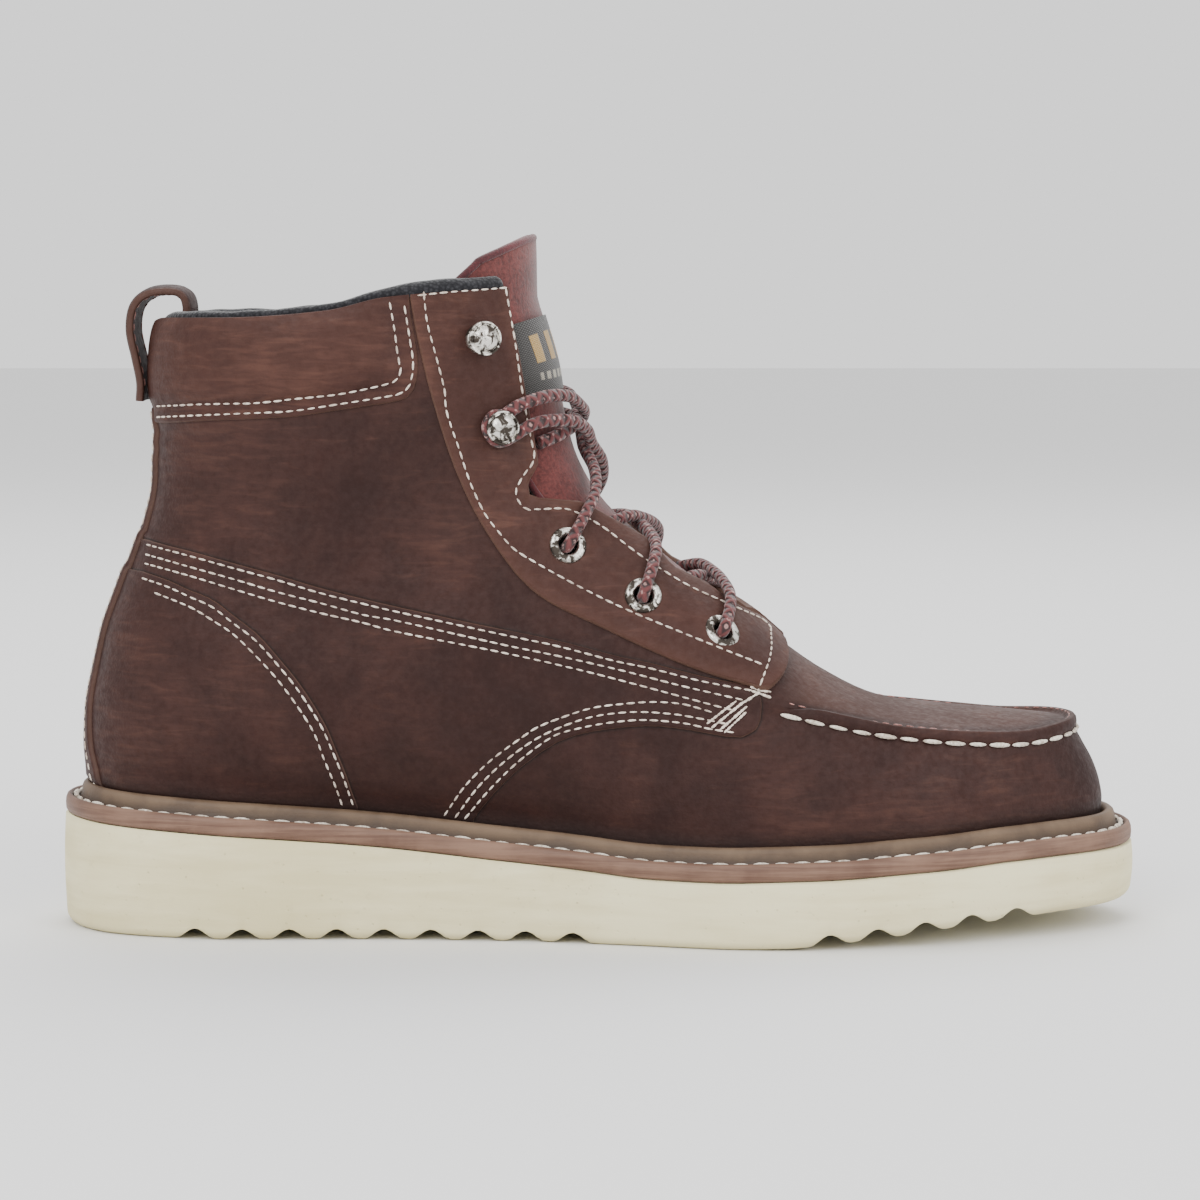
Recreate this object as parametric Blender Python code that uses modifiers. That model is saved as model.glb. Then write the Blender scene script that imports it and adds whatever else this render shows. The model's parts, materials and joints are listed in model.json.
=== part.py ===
"""A men's lace-up work boot: moc toe, padded collar, speed hooks and a wedge sole with lugs.

Metres, +Z up. X runs from the heel to the toe and the outer (lateral) side is -Y.
The upper, its overlays and the tongue are all sampled from one surface, in hood().
"""

import math

import bmesh
import bpy
import numpy as np
from mathutils import Vector
from mathutils.bvhtree import BVHTree

LENGTH = 0.3075  # sole, heel to toe
WIDTH = 0.105  # sole at the ball
HEIGHT = 0.193  # floor to the top of the tongue
HEEL_X = -LENGTH / 2

GAP = 0.0003  # between pieces that meet
WALL = 0.0021  # upper
OVERLAY = 0.0014  # eyestay and back strip
COLLAR_PAD = 0.0021
TONGUE_THICK = 0.0032
TONGUE_CLEAR = 0.0014  # between the upper's inside and the tongue
INSOLE_THICK = 0.003

WELT_THICK = 0.0048
RIB_INSET = 0.0055  # welt edge to the outer face of the storm rib
RIB_THICK = 0.0024
RIB_RISE = 0.0044
RIB_CLEAR = 0.001  # rib to upper, whose wall leans out above it
UPPER_INSET = RIB_INSET + RIB_THICK + RIB_CLEAR
WELT_ROUND = 0.0018  # its upper outer edge
EDGE_BREAK = 0.0003  # an edge that is only broken
EDGE_ROUND = 0.0034  # lower edge of the sole

LIP_HEIGHT = 0.0039  # moc seam's raised lip
FLAT_STEP = 0.0006  # spacing of the lip's rows where there is no lip

LUG_PITCH = 0.0132
LUG_DEPTH = 0.003
HEEL_LUGS = (9, 0.132)  # count, share of the first groove
TOE_LUGS = (5, 0.705)

LOOP_WIDTH = 0.021
LOOP_THICK = 0.0022
BACK_STRIP_WIDTH = 0.019
STAY_SPLIT = 0.004  # each eyestay's nearest edge to the middle of the foot
LACE = 0.0038
EYELET_HOLE = 0.0026
EYELET_RIM = 0.0052
EYELET_RISE = 0.0011
HOOK_CAP = 0.0048
HOOK_FOOT = 0.0038
HOOK_NECK = 0.0017
HOOK_PLATE = 0.0007  # thickness of its foot and of its cap's edge
HOOK_STAND = 0.0034  # leather to the underside of the cap
HOOK_DOME = 0.0026  # rise of the cap above that
DRILL = 0.009  # reach of a hole's cutter each way
BARREL = 0.0006  # wall of an eyelet's barrel
FLANGE_LIFT = 0.0008  # under the rims, which are flat on a curved surface

COLUMNS = 22  # per side, heel to toe
SPLIT = 12  # column where the shaft leaves the forefoot
ACROSS = 5  # faces from the moc seam to the ridge
SHAFT_RINGS = 8

# Side view of the sole: share of length; bottom and top, shares of height.
SOLE_SIDE = (
    (0.000, 0.000, 0.168),
    (0.061, 0.000, 0.162),
    (0.181, 0.000, 0.151),
    (0.295, 0.000, 0.138),
    (0.406, 0.000, 0.120),
    (0.487, 0.000, 0.108),
    (0.549, 0.000, 0.099),
    (0.607, 0.000, 0.098),
    (0.663, 0.002, 0.101),
    (0.721, 0.010, 0.104),
    (0.770, 0.018, 0.109),
    (0.815, 0.026, 0.113),
    (0.874, 0.033, 0.119),
    (0.929, 0.036, 0.121),
    (1.000, 0.037, 0.121),
)

# Plan of the sole: share of length; centre line (+ is the inner side) and half width, shares of width.
SOLE_PLAN = (
    (0.000, 0.000, 0.000),
    (0.020, 0.000, 0.176),
    (0.050, 0.000, 0.257),
    (0.100, 0.000, 0.314),
    (0.170, 0.000, 0.349),
    (0.300, -0.007, 0.337),
    (0.420, -0.024, 0.345),
    (0.520, -0.032, 0.395),
    (0.620, -0.024, 0.470),
    (0.700, -0.005, 0.500),
    (0.790, 0.019, 0.484),
    (0.870, 0.038, 0.415),
    (0.935, 0.046, 0.314),
    (0.977, 0.048, 0.205),
    (1.000, 0.048, 0.000),
)

# Back of the upper: share of height, share of length.
BACK = (
    (0.155, 0.027),
    (0.280, 0.028),
    (0.354, 0.029),
    (0.434, 0.041),
    (0.498, 0.057),
    (0.584, 0.077),
    (0.666, 0.089),
    (0.748, 0.090),
    (0.829, 0.093),
    (0.907, 0.097),
    (1.016, 0.105),
)

# Front of the upper as if its throat were closed: share of length, share of height.
RIDGE = (
    (0.435, 1.016),
    (0.448, 0.953),
    (0.458, 0.902),
    (0.471, 0.829),
    (0.476, 0.777),
    (0.485, 0.715),
    (0.497, 0.674),
    (0.516, 0.630),
    (0.542, 0.591),
    (0.581, 0.541),
    (0.614, 0.497),
    (0.643, 0.453),
    (0.669, 0.416),
    (0.710, 0.372),
    (0.756, 0.337),
    (0.809, 0.321),
    (0.876, 0.311),
    (0.936, 0.301),
)

# Line of the low seam, then of the moc seam: share of length, share of height.
SEAM = (
    (0.067, 0.570),
    (0.227, 0.513),
    (0.367, 0.459),
    (0.500, 0.404),
    (0.598, 0.365),
    (0.646, 0.339),
    (0.688, 0.321),
    (0.752, 0.299),
    (0.840, 0.282),
    (0.884, 0.278),
    (0.946, 0.287),
)

# Moc seam in plan: share of length, half width as a share of width.
SEAM_PLAN = (
    (0.451, 0.343),
    (0.526, 0.348),
    (0.598, 0.357),
    (0.695, 0.362),
    (0.760, 0.356),
    (0.809, 0.341),
    (0.858, 0.308),
    (0.890, 0.270),
    (0.916, 0.217),
    (0.933, 0.155),
    (0.946, 0.000),
)

# Ankle and shaft: share of height, half width as a share of width.
SHAFT = (
    (0.363, 0.357),
    (0.466, 0.348),
    (0.570, 0.338),
    (0.648, 0.338),
    (0.725, 0.345),
    (0.829, 0.358),
    (0.907, 0.368),
    (1.016, 0.381),
)
OVAL_POWER = 2.3  # 2 is an ellipse

# Collar edge: share of length, share of height.
COLLAR = (
    (0.087, 0.883),
    (0.110, 0.897),
    (0.175, 0.899),
    (0.256, 0.909),
    (0.309, 0.928),
    (0.415, 0.940),
    (0.467, 0.944),
)

# Wall from feather to seam: share of its height, lean at the toe, lean at the heel, swell.
WALL_SHAPE = (
    (0.00, 0.00, 0.00, 0.00),
    (0.10, 0.00, 0.02, 0.08),
    (0.22, -0.03, 0.18, 0.58),
    (0.42, 0.07, 0.42, 0.97),
    (0.64, 0.32, 0.64, 0.86),
    (0.83, 0.67, 0.83, 0.42),
    (1.00, 1.00, 1.00, 0.00),
)

# Swell of that wall: share of length, share of width.
SWELL = (
    (0.00, 0.053),
    (0.10, 0.045),
    (0.20, 0.040),
    (0.45, 0.030),
    (0.65, 0.010),
    (1.00, 0.000),
)

# Raised lip of the moc seam: inset from the seam and rise above it, shares of its height.
LIP = (
    (-0.05, 0.56),
    (0.13, 0.95),
    (0.54, 1.00),
    (0.74, 0.67),
)
LIP_STARTS = 0.66  # shares of length over which the lip grows
LIP_FULL = 0.70

# Throat edge in side view, from the tongue's root up: share of length, share of height.
THROAT = (
    (0.646, 0.480),
    (0.638, 0.462),
    (0.622, 0.476),
    (0.597, 0.508),
    (0.566, 0.535),
    (0.546, 0.571),
    (0.502, 0.612),
    (0.482, 0.631),
    (0.436, 0.640),
    (0.434, 0.660),
    (0.443, 0.686),
    (0.438, 0.735),
    (0.432, 0.787),
    (0.427, 0.842),
    (0.419, 0.902),
    (0.410, 1.040),
)

# Eyestay: its rear edge in side view, from the throat's foot up to the collar.
EYESTAY_REAR = (
    (0.646, 0.366),
    (0.630, 0.378),
    (0.570, 0.412),
    (0.500, 0.462),
    (0.442, 0.512),
    (0.402, 0.590),
    (0.376, 0.680),
    (0.357, 0.780),
    (0.346, 0.860),
    (0.338, 0.925),
)
EYESTAY_TOP = ((0.345, 0.926), (0.413, 0.933))
EYESTAY_FRONT = ((0.664, 0.420), (0.663, 0.400), (0.656, 0.376))

# Lower edge of the padded collar panel, front end last, then what closes its outline above the collar.
COLLAR_PANEL = (
    (0.078, 0.764),
    (0.180, 0.766),
    (0.262, 0.778),
    (0.296, 0.788),
    (0.312, 0.812),
    (0.316, 0.860),
    (0.322, 0.926),
)
COLLAR_AROUND = ((0.322, 0.960), (0.050, 0.960), (0.050, 0.764))

BACK_STRIP_SPAN = ((0.000, 0.232), (0.160, 0.755))  # low and high corners in side view

# Holes in side view: share of length, share of height.
EYELETS = (
    (0.471, 0.572),
    (0.539, 0.500),
    (0.610, 0.448),
)
HOOKS = (
    (0.392, 0.868),
    (0.408, 0.741),
)

# Lace crossings from the toe up, in side view: where a strand starts, and the one it heads for.
LACE_CROSSINGS = (
    ((0.608, 0.462), (0.536, 0.528)),
    ((0.537, 0.520), (0.480, 0.600)),
    ((0.477, 0.597), (0.425, 0.716)),
    ((0.417, 0.763), (0.430, 0.800)),
)
LACE_OVER = 0.0011  # how far the strand on top stands off the other
# Strand's middle above the closed throat: share of the way to its end, share of the lace's thickness.
LACE_LIFTS = ((0.0, 1.21), (0.14, 1.16), (0.3, 0.79), (0.5, 0.53), (0.70, 0.37))

# Strap of the pull loop, from inside the collar, over the top, to the back.
LOOP_PATH = (
    (0.1155, 0.830),
    (0.1170, 0.880),
    (0.1200, 0.912),
    (0.1130, 0.932),
    (0.0880, 0.932),
    (0.0730, 0.914),
    (0.0690, 0.879),
    (0.0740, 0.838),
    (0.0782, 0.803),
    (0.0777, 0.775),
)

# Tongue from its top to its root: share of length, share of height; depth of its sides, share of width.
TONGUE = (
    (0.435, 1.008, 0.143),
    (0.442, 0.980, 0.238),
    (0.456, 0.905, 0.257),
    (0.472, 0.825, 0.219),
    (0.481, 0.740, 0.181),
    (0.500, 0.668, 0.152),
    (0.545, 0.588, 0.124),
    (0.606, 0.508, 0.090),
    (0.650, 0.443, 0.057),
    (0.690, 0.393, 0.038),
)
TONGUE_STEPS = (0.0, 0.2, 0.42, 0.65, 0.84, 1.0)  # shares of the way from its middle to its side


def clear_scene():
    for item in list(bpy.data.objects):
        bpy.data.objects.remove(item, do_unlink=True)


def make_collection(name, cutters):
    group = bpy.data.collections.new(name)
    bpy.context.scene.collection.children.link(group)
    group.hide_render = cutters
    return group


def smooth(rows, column, at):
    """One column of a table at a share: a cubic through its rows that never overshoots them."""
    x = np.array([row[0] for row in rows])
    y = np.array([row[column] for row in rows])
    if x[0] > x[-1]:
        x, y = x[::-1], y[::-1]
    step = np.diff(x)
    slope = np.diff(y) / step
    tangent = np.concatenate([slope[:1], np.zeros(len(x) - 2), slope[-1:]])
    for i in range(1, len(x) - 1):
        if slope[i - 1] * slope[i] > 0:
            near = 2 * step[i] + step[i - 1]
            far = step[i] + 2 * step[i - 1]
            tangent[i] = (near + far) / (near / slope[i - 1] + far / slope[i])
    at = np.clip(at, x[0], x[-1])
    i = np.clip(np.searchsorted(x, at) - 1, 0, len(step) - 1)
    t = (at - x[i]) / step[i]
    rise = y[i] * (1 + 2 * t) * (1 - t) ** 2 + y[i + 1] * t * t * (3 - 2 * t)
    return rise + step[i] * t * (1 - t) * (tangent[i] * (1 - t) - tangent[i + 1] * t)


def round_ended(rows, column, at):
    """A half width that closes to a round end: the cubic runs through its squares."""
    squares = [(row[0], row[column] ** 2) for row in rows]
    return math.sqrt(max(smooth(squares, 1, at), 0.0))


def ramp(value, low, high):
    t = min(max((value - low) / (high - low), 0.0), 1.0)
    return t * t * (3 - 2 * t)


def share_of(x):
    return (x - HEEL_X) / LENGTH


def side_point(share, rise):
    return HEEL_X + share * LENGTH, rise * HEIGHT


def side_points(rows):
    return [side_point(share, rise) for share, rise in rows]


def back_x(z):
    return HEEL_X + LENGTH * smooth(BACK, 1, z / HEIGHT)


def front_x(z):
    flipped = [(rise, share) for share, rise in RIDGE]
    return HEEL_X + LENGTH * smooth(flipped, 1, z / HEIGHT)


def ridge_z(x):
    return HEIGHT * smooth(RIDGE, 1, share_of(x))


def seam_z(x):
    return HEIGHT * smooth(SEAM, 1, share_of(x))


def collar_z(x):
    return HEIGHT * smooth(COLLAR, 1, share_of(x))


def sole_top(x):
    return HEIGHT * smooth(SOLE_SIDE, 2, share_of(x))


def sole_bottom(x):
    return HEIGHT * smooth(SOLE_SIDE, 1, share_of(x))


def welt_top(x):
    return sole_top(x) + WELT_THICK


def centre_y(x, z=0.0):
    """Centre line of the last, straight in the shaft and curved inwards at the toe."""
    return WIDTH * smooth(SOLE_PLAN, 1, share_of(x)) * (1 - ramp(z / HEIGHT, 0.35, 0.65))


def oval_half(q, z):
    """Half width of the shaft's oval at q of the way from its back to its front."""
    fullness = 1 - abs(2 * q - 1) ** OVAL_POWER
    return WIDTH * smooth(SHAFT, 1, z / HEIGHT) * max(fullness, 0.0) ** (1 / OVAL_POWER)


def forefoot_share(x):
    """0 where the shaft's ovals set the shape, 1 where the cross-sections of the foot do."""
    return ramp(share_of(x), 0.451, 0.614)


def crown_power(x):
    return 2.4 - 1.3 * ramp(share_of(x), 0.53, 0.70)


def half_width(x, z):
    """Half width above the seam line at a point of the side view."""
    back, front = back_x(z), front_x(z)
    q = min(max((x - back) / (front - back), 0.0), 1.0)
    blend = forefoot_share(x)
    half = (1 - blend) * oval_half(q, z)
    if blend > 0:
        base = seam_z(x) + lip_rise(x, LIP[-1])
        eta = min(max((z - base) / (ridge_z(x) - base), 0.0), 1.0)
        plan = WIDTH * round_ended(SEAM_PLAN, 1, share_of(x))
        half += blend * plan * math.sqrt(1 - eta ** crown_power(x))
    return half


def lip_share(x):
    return ramp(share_of(x), LIP_STARTS, LIP_FULL)


def lip_rise(x, row):
    flat = FLAT_STEP * (1 + LIP.index(row))
    return lip_share(x) * row[1] * LIP_HEIGHT + (1 - lip_share(x)) * flat


def loop_of(inset, columns=COLUMNS):
    """Plan of the sole moved in: heel, outer side, toe, inner side. Each point is (x, y)."""
    turns = [math.pi * i / columns for i in range(columns + 1)]
    shares = [(1 - math.cos(turn)) / 2 for turn in turns]
    outer = []
    inner = []
    for share in shares:
        half = WIDTH * round_ended(SOLE_PLAN, 2, share)
        middle = WIDTH * smooth(SOLE_PLAN, 1, share)
        outer.append((HEEL_X + share * LENGTH, middle - half))
        inner.append((HEEL_X + share * LENGTH, middle + half))
    points = np.array(outer + inner[-2:0:-1])
    return moved_in(points, inset)


def moved_in(points, inset):
    along = np.roll(points, -1, axis=0) - np.roll(points, 1, axis=0)
    along /= np.linalg.norm(along, axis=1)[:, None]
    return points + inset * np.stack([-along[:, 1], along[:, 0]], axis=1)


def seam_loop(columns):
    """The seam line over each column of the feather loop, as (x, y)."""
    points = []
    tip_x = HEEL_X + SEAM[-1][0] * LENGTH
    rear_x = back_x(SEAM[0][1] * HEIGHT)
    for i in range(2 * columns):
        step = min(i, 2 * columns - i)
        x = rear_x + (tip_x - rear_x) * (1 - math.cos(math.pi * step / columns)) / 2
        z = seam_z(x)
        blend = forefoot_share(x)
        half = 0.0
        if 0 < step < columns:
            q = (x - back_x(z)) / (front_x(z) - back_x(z))
            half = (1 - blend) * oval_half(q, z)
            half += blend * WIDTH * round_ended(SEAM_PLAN, 1, share_of(x))
        side = -1 if i <= columns else 1
        points.append((x, centre_y(x, z) + side * half))
    return np.array(points)


def wall_rows(columns):
    """Rings of points from the feather edge up to the seam."""
    feather = loop_of(UPPER_INSET, columns)
    seam = seam_loop(columns)
    outward = moved_in(seam, -1.0) - seam
    rows = []
    for rise, toe_lean, heel_lean, swell in WALL_SHAPE:
        ring = []
        for low, high, out in zip(feather, seam, outward):
            toe = ramp(share_of(low[0]), 0.5, 0.7)
            lean = toe * toe_lean + (1 - toe) * heel_lean
            x, y = low + (high - low) * lean
            push = swell * WIDTH * smooth(SWELL, 1, share_of(low[0]))
            bottom = welt_top(low[0]) + GAP
            z = bottom + rise * (seam_z(high[0]) - bottom)
            ring.append((x + out[0] * push, y + out[1] * push, z))
        rows.append(ring)
    return rows, seam


def lip_rows(seam):
    rows = []
    inward = moved_in(seam, 1.0) - seam
    for row in LIP:
        ring = []
        for point, direction in zip(seam, inward):
            share = lip_share(point[0])
            x, y = point + direction * row[0] * LIP_HEIGHT * share
            ring.append((x, y, seam_z(point[0]) + lip_rise(point[0], row)))
        rows.append(ring)
    return rows


def hood(with_lip=True, columns=COLUMNS, split=SPLIT, across=ACROSS, rings=SHAFT_RINGS):
    """The upper's surface with its throat closed: points, faces, feather ring, collar ring."""
    rows, seam = wall_rows(columns)
    lip = lip_rows(seam)
    rows += lip if with_lip else lip[-1:]
    around = 2 * columns
    points = [point for ring in rows for point in ring]
    faces = []
    for r in range(len(rows) - 1):
        for i in range(around):
            j = (i + 1) % around
            faces.append((r * around + i, r * around + j, (r + 1) * around + j, (r + 1) * around + i))
    top = (len(rows) - 1) * around
    bridges = cross_rows(points, top, columns, split, across)
    for i in range(split, columns):
        near, far = bridges[i], bridges[i + 1]
        for j in range(2 * across):
            corners = [near[j], far[j], far[j + 1], near[j + 1]]
            faces.append(tuple(dict.fromkeys(corners)))
    collar = shaft_rows(points, faces, top, bridges[split], columns, split, across, rings)
    points = np.array(points)
    return points, triangles(points, faces), list(range(around)), collar


def triangles(points, faces):
    """Each quad split along its shorter diagonal, so that offset copies fold the same way."""
    split = []
    for face in faces:
        if len(face) == 3:
            split.append(face)
            continue
        a, b, c, d = face
        first = np.linalg.norm(points[a] - points[c])
        second = np.linalg.norm(points[b] - points[d])
        split += [(a, b, c), (a, c, d)] if first < second else [(b, c, d), (b, d, a)]
    return split


def cross_rows(points, top, columns, split, across):
    """Rows over the forefoot, each from the outer edge of the plug to its inner edge."""
    bridges = {}
    for i in range(split, columns):
        near, far = top + i, top + 2 * columns - i
        row = [near]
        x0, z0 = points[near][0], points[near][2]
        x1, z1 = points[far][0], points[far][2]
        for j in range(1, 2 * across):
            side = -1 if j <= across else 1
            out = abs(1 - j / across)
            x = x0 + (x1 - x0) * j / (2 * across)
            base = z0 + (z1 - z0) * j / (2 * across)
            reach = math.cos(math.pi / 2 * (1 - out) ** 1.15)
            eta = (1 - reach * reach) ** (1 / crown_power(x))
            z = base + (ridge_z(x) - base) * eta
            edge = points[near][1] if side < 0 else points[far][1]
            half = abs(edge - centre_y(x, z0)) * reach
            if forefoot_share(x) < 1:
                half = half_width(x, z)
            if j == across:
                half = 0.0
            points.append((x, centre_y(x, z) + side * half, z))
            row.append(len(points) - 1)
        bridges[i] = row + [far]
    bridges[columns] = [top + columns] * (2 * across + 1)
    return bridges


def shaft_rows(points, faces, top, bridge, columns, split, across, rings):
    """Rings from the seam and the instep up to the collar edge. Returns the last one."""
    rear = [top + i for i in range(split + 1)]
    fore = [top + 2 * columns - i for i in range(1, split + 1)]
    loop = rear + bridge[1:-1] + fore[::-1]
    half_count = split + across
    start = []
    for index in loop[: half_count + 1]:
        x, z = points[index][0], points[index][2]
        start.append(((x - back_x(z)) / (front_x(z) - back_x(z)), z))
    for ring in range(1, rings + 1):
        rise = ring / rings
        row = []
        for place in range(half_count + 1):
            q_top = (1 - math.cos(math.pi * place / half_count)) / 2
            z = collar_z(0.0)
            for _ in range(3):
                z = collar_z(back_x(z) + (front_x(z) - back_x(z)) * q_top)
            q = start[place][0] + (q_top - start[place][0]) * rise
            z = start[place][1] + (z - start[place][1]) * rise
            q = 0.0 if place == 0 else 1.0 if place == half_count else q
            x = back_x(z) + (front_x(z) - back_x(z)) * q
            half = half_width(x, z) if 0 < place < half_count else 0.0
            row.append((x, half, z))
        first = len(points)
        for x, half, z in row:
            points.append((x, centre_y(x, z) - half, z))
        for x, half, z in row[-2:0:-1]:
            points.append((x, centre_y(x, z) + half, z))
        following = list(range(first, first + 2 * half_count))
        for i in range(2 * half_count):
            j = (i + 1) % (2 * half_count)
            faces.append((loop[i], loop[j], following[j], following[i]))
        loop = following
    return loop


def normals_of(points, faces):
    total = np.zeros_like(points)
    for face in faces:
        corners = points[list(face)]
        normal = np.cross(corners[2] - corners[0], corners[-1] - corners[1])
        for index in face:
            total[index] += normal
    return total / np.linalg.norm(total, axis=1)[:, None]


def new_object(name, points, faces, group):
    mesh = bpy.data.meshes.new(name)
    mesh.from_pydata([tuple(point) for point in points], [], faces)
    mesh.update()
    built = bmesh.new()
    built.from_mesh(mesh)
    bmesh.ops.recalc_face_normals(built, faces=built.faces)
    built.to_mesh(mesh)
    built.free()
    return placed(name, mesh, group)


def placed(name, mesh, group):
    item = bpy.data.objects.new(name, mesh)
    group.objects.link(item)
    if group.hide_render:
        item.hide_render = True
        item.display_type = "WIRE"
    return item


def layered(name, low, high, group):
    """A closed shell between two copies of the hood's surface, moved by low and high."""
    outer, outer_faces, outer_feather, outer_collar = high
    inner, inner_faces, inner_feather, inner_collar = low
    shift = len(outer)
    faces = list(outer_faces)
    faces += [tuple(index + shift for index in face[::-1]) for face in inner_faces]
    for outer_ring, inner_ring in ((outer_feather, inner_feather), (outer_collar, inner_collar)):
        count = len(outer_ring)
        for i in range(count):
            j = (i + 1) % count
            lower = (inner_ring[i] + shift, inner_ring[j] + shift)
            faces.append((outer_ring[i], outer_ring[j], lower[1], lower[0]))
    return new_object(name, np.concatenate([outer, inner]), faces, group)


def moved_hood(distance, with_lip):
    points, faces, feather, collar = hood(with_lip)
    return points + normals_of(points, faces) * distance, faces, feather, collar


def prism(name, outline, low, high, group):
    """A side-view outline of (x, z) carried from low to high along Y."""
    count = len(outline)
    points = [(x, low, z) for x, z in outline] + [(x, high, z) for x, z in outline]
    faces = [tuple(range(count)), tuple(range(2 * count - 1, count - 1, -1))]
    for i in range(count):
        j = (i + 1) % count
        faces.append((i, j, j + count, i + count))
    return new_object(name, points, faces, group)


def boolean(item, cutter, operation):
    modifier = item.modifiers.new(operation.title(), "BOOLEAN")
    modifier.operation = operation
    modifier.solver = "EXACT"
    modifier.object = cutter


def lofted(name, loops, group):
    """Closed rings of points joined in order, the first and last filled."""
    count = len(loops[0])
    points = [point for ring in loops for point in ring]
    faces = []
    for r in range(len(loops) - 1):
        for i in range(count):
            j = (i + 1) % count
            faces.append((r * count + i, r * count + j, (r + 1) * count + j, (r + 1) * count + i))
    last = (len(loops) - 1) * count
    half = count // 2
    for base in (0, last):
        faces.append((base, base + 1, base + count - 1))
        for i in range(1, half - 1):
            faces.append((base + i, base + i + 1, base + count - i - 1, base + count - i))
        faces.append((base + half - 1, base + half, base + half + 1))
    return new_object(name, points, faces, group)


def raised(loop, height_at):
    return [(x, y, height_at(x)) for x, y in loop]


def make_outsole(parts, cutters):
    rows = []
    for inset, rise in ((EDGE_ROUND, 0.0), (0.3 * EDGE_ROUND, 0.25 * EDGE_ROUND), (0.0, EDGE_ROUND)):
        rows.append(raised(loop_of(inset), lambda x, rise=rise: sole_bottom(x) + rise))
    rows.append(raised(loop_of(EDGE_BREAK), lambda x: sole_top(x) - GAP))
    sole = lofted("outsole", rows, parts)
    for name, (count, first) in (("heel_grooves", HEEL_LUGS), ("toe_grooves", TOE_LUGS)):
        boolean(sole, groove_cutter(name, count, first, cutters), "DIFFERENCE")
    return sole


def groove_cutter(name, count, first, cutters):
    """Rounded grooves side by side, as one wavy prism whose crests stay under the tread."""
    outline = []
    floor = -LUG_DEPTH
    for i in range(count):
        middle = HEEL_X + first * LENGTH + i * LUG_PITCH
        ground = sole_bottom(middle)
        for share, depth in ((-0.34, -0.1), (-0.22, 0.62), (0.0, 1.0), (0.22, 0.62), (0.34, -0.1)):
            outline.append((middle + share * LUG_PITCH, ground + depth * LUG_DEPTH))
    outline.append((outline[-1][0], floor))
    outline.append((outline[0][0], floor))
    return prism(name, outline, -WIDTH, WIDTH, cutters)


def make_welt(parts):
    under_rib = RIB_INSET + RIB_THICK / 2
    rows = [
        raised(loop_of(2 * EDGE_BREAK), sole_top),
        raised(loop_of(0.0), lambda x: sole_top(x) + 0.35 * WELT_THICK),
        raised(loop_of(EDGE_BREAK), lambda x: sole_top(x) + 0.75 * WELT_THICK),
        raised(loop_of(WELT_ROUND), welt_top),
        raised(loop_of(RIB_INSET), welt_top),
        raised(loop_of(RIB_INSET + EDGE_BREAK), lambda x: welt_top(x) + 0.7 * RIB_RISE),
        raised(loop_of(under_rib), lambda x: welt_top(x) + RIB_RISE),
        raised(loop_of(RIB_INSET + RIB_THICK), lambda x: welt_top(x) + 0.7 * RIB_RISE),
        raised(loop_of(RIB_INSET + RIB_THICK), welt_top),
    ]
    return lofted("welt", rows, parts)


def make_insole(parts):
    inset = UPPER_INSET + WALL + 4 * GAP
    rows = [
        raised(loop_of(inset + EDGE_BREAK), lambda x: welt_top(x) + GAP),
        raised(loop_of(inset), lambda x: welt_top(x) + GAP + INSOLE_THICK),
    ]
    return lofted("insole", rows, parts)


def make_upper(parts, cutters):
    upper = layered("upper", moved_hood(-WALL, False), moved_hood(0.0, True), parts)
    boolean(upper, throat_cutter(cutters), "DIFFERENCE")
    return upper


def throat_cutter(cutters):
    outline = side_points(THROAT)
    outline += [(outline[0][0], outline[-1][1])]
    return prism("throat_cutter", outline, -WIDTH, WIDTH, cutters)


def make_overlay(name, thick, outline, low, high, parts, cutters):
    """A piece of the upper's own surface, a little above it, cut out by a side-view outline."""
    piece = layered(name, moved_hood(GAP, False), moved_hood(GAP + thick, False), parts)
    boolean(piece, prism(name + "_outline", outline, low, high, cutters), "INTERSECT")
    return piece


def make_eyestays(parts, cutters):
    front = side_points(EYESTAY_FRONT)
    edge = side_points(THROAT)[2:-1]
    outline = side_points(EYESTAY_TOP) + edge[::-1] + front + side_points(EYESTAY_REAR)
    pieces = []
    for name, low, high in (("eyestay_outer", -WIDTH, -STAY_SPLIT), ("eyestay_inner", STAY_SPLIT, WIDTH)):
        pieces.append(make_overlay(name, OVERLAY, outline, low, high, parts, cutters))
    return pieces


def make_collar_band(parts, cutters):
    outline = side_points(COLLAR_PANEL + COLLAR_AROUND)
    return make_overlay("collar_band", COLLAR_PAD, outline, -WIDTH, WIDTH, parts, cutters)


def make_back_strip(parts, cutters):
    strip = layered("back_strip", moved_hood(GAP, False), moved_hood(GAP + OVERLAY, False), parts)
    low, high = side_points(BACK_STRIP_SPAN)
    outline = [low, (high[0], low[1]), high, (low[0], high[1])]
    half = BACK_STRIP_WIDTH / 2
    boolean(strip, prism("back_strip_outline", outline, -half, half, cutters), "INTERSECT")
    return strip


def strap_outline(path, thick):
    """Closed side-view outline of a strap of even thickness along a path."""
    points = np.array(path)
    along = np.gradient(points, axis=0)
    along /= np.linalg.norm(along, axis=1)[:, None]
    across = np.stack([-along[:, 1], along[:, 0]], axis=1) * thick / 2
    return [tuple(p) for p in points + across] + [tuple(p) for p in (points - across)[::-1]]


def rounded_path(points, per_span):
    """Points along a Catmull-Rom curve through the given ones."""
    points = [np.array(point) for point in points]
    ends = [2 * points[0] - points[1]] + points + [2 * points[-1] - points[-2]]
    path = []
    for a, b, c, d in zip(ends, ends[1:], ends[2:], ends[3:]):
        for step in range(per_span):
            t = step / per_span
            path.append(tuple(0.5 * (2 * b + (c - a) * t + (2 * a - 5 * b + 4 * c - d) * t * t
                                     + (3 * b - a - 3 * c + d) * t ** 3)))
    return path + [tuple(points[-1])]


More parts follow.
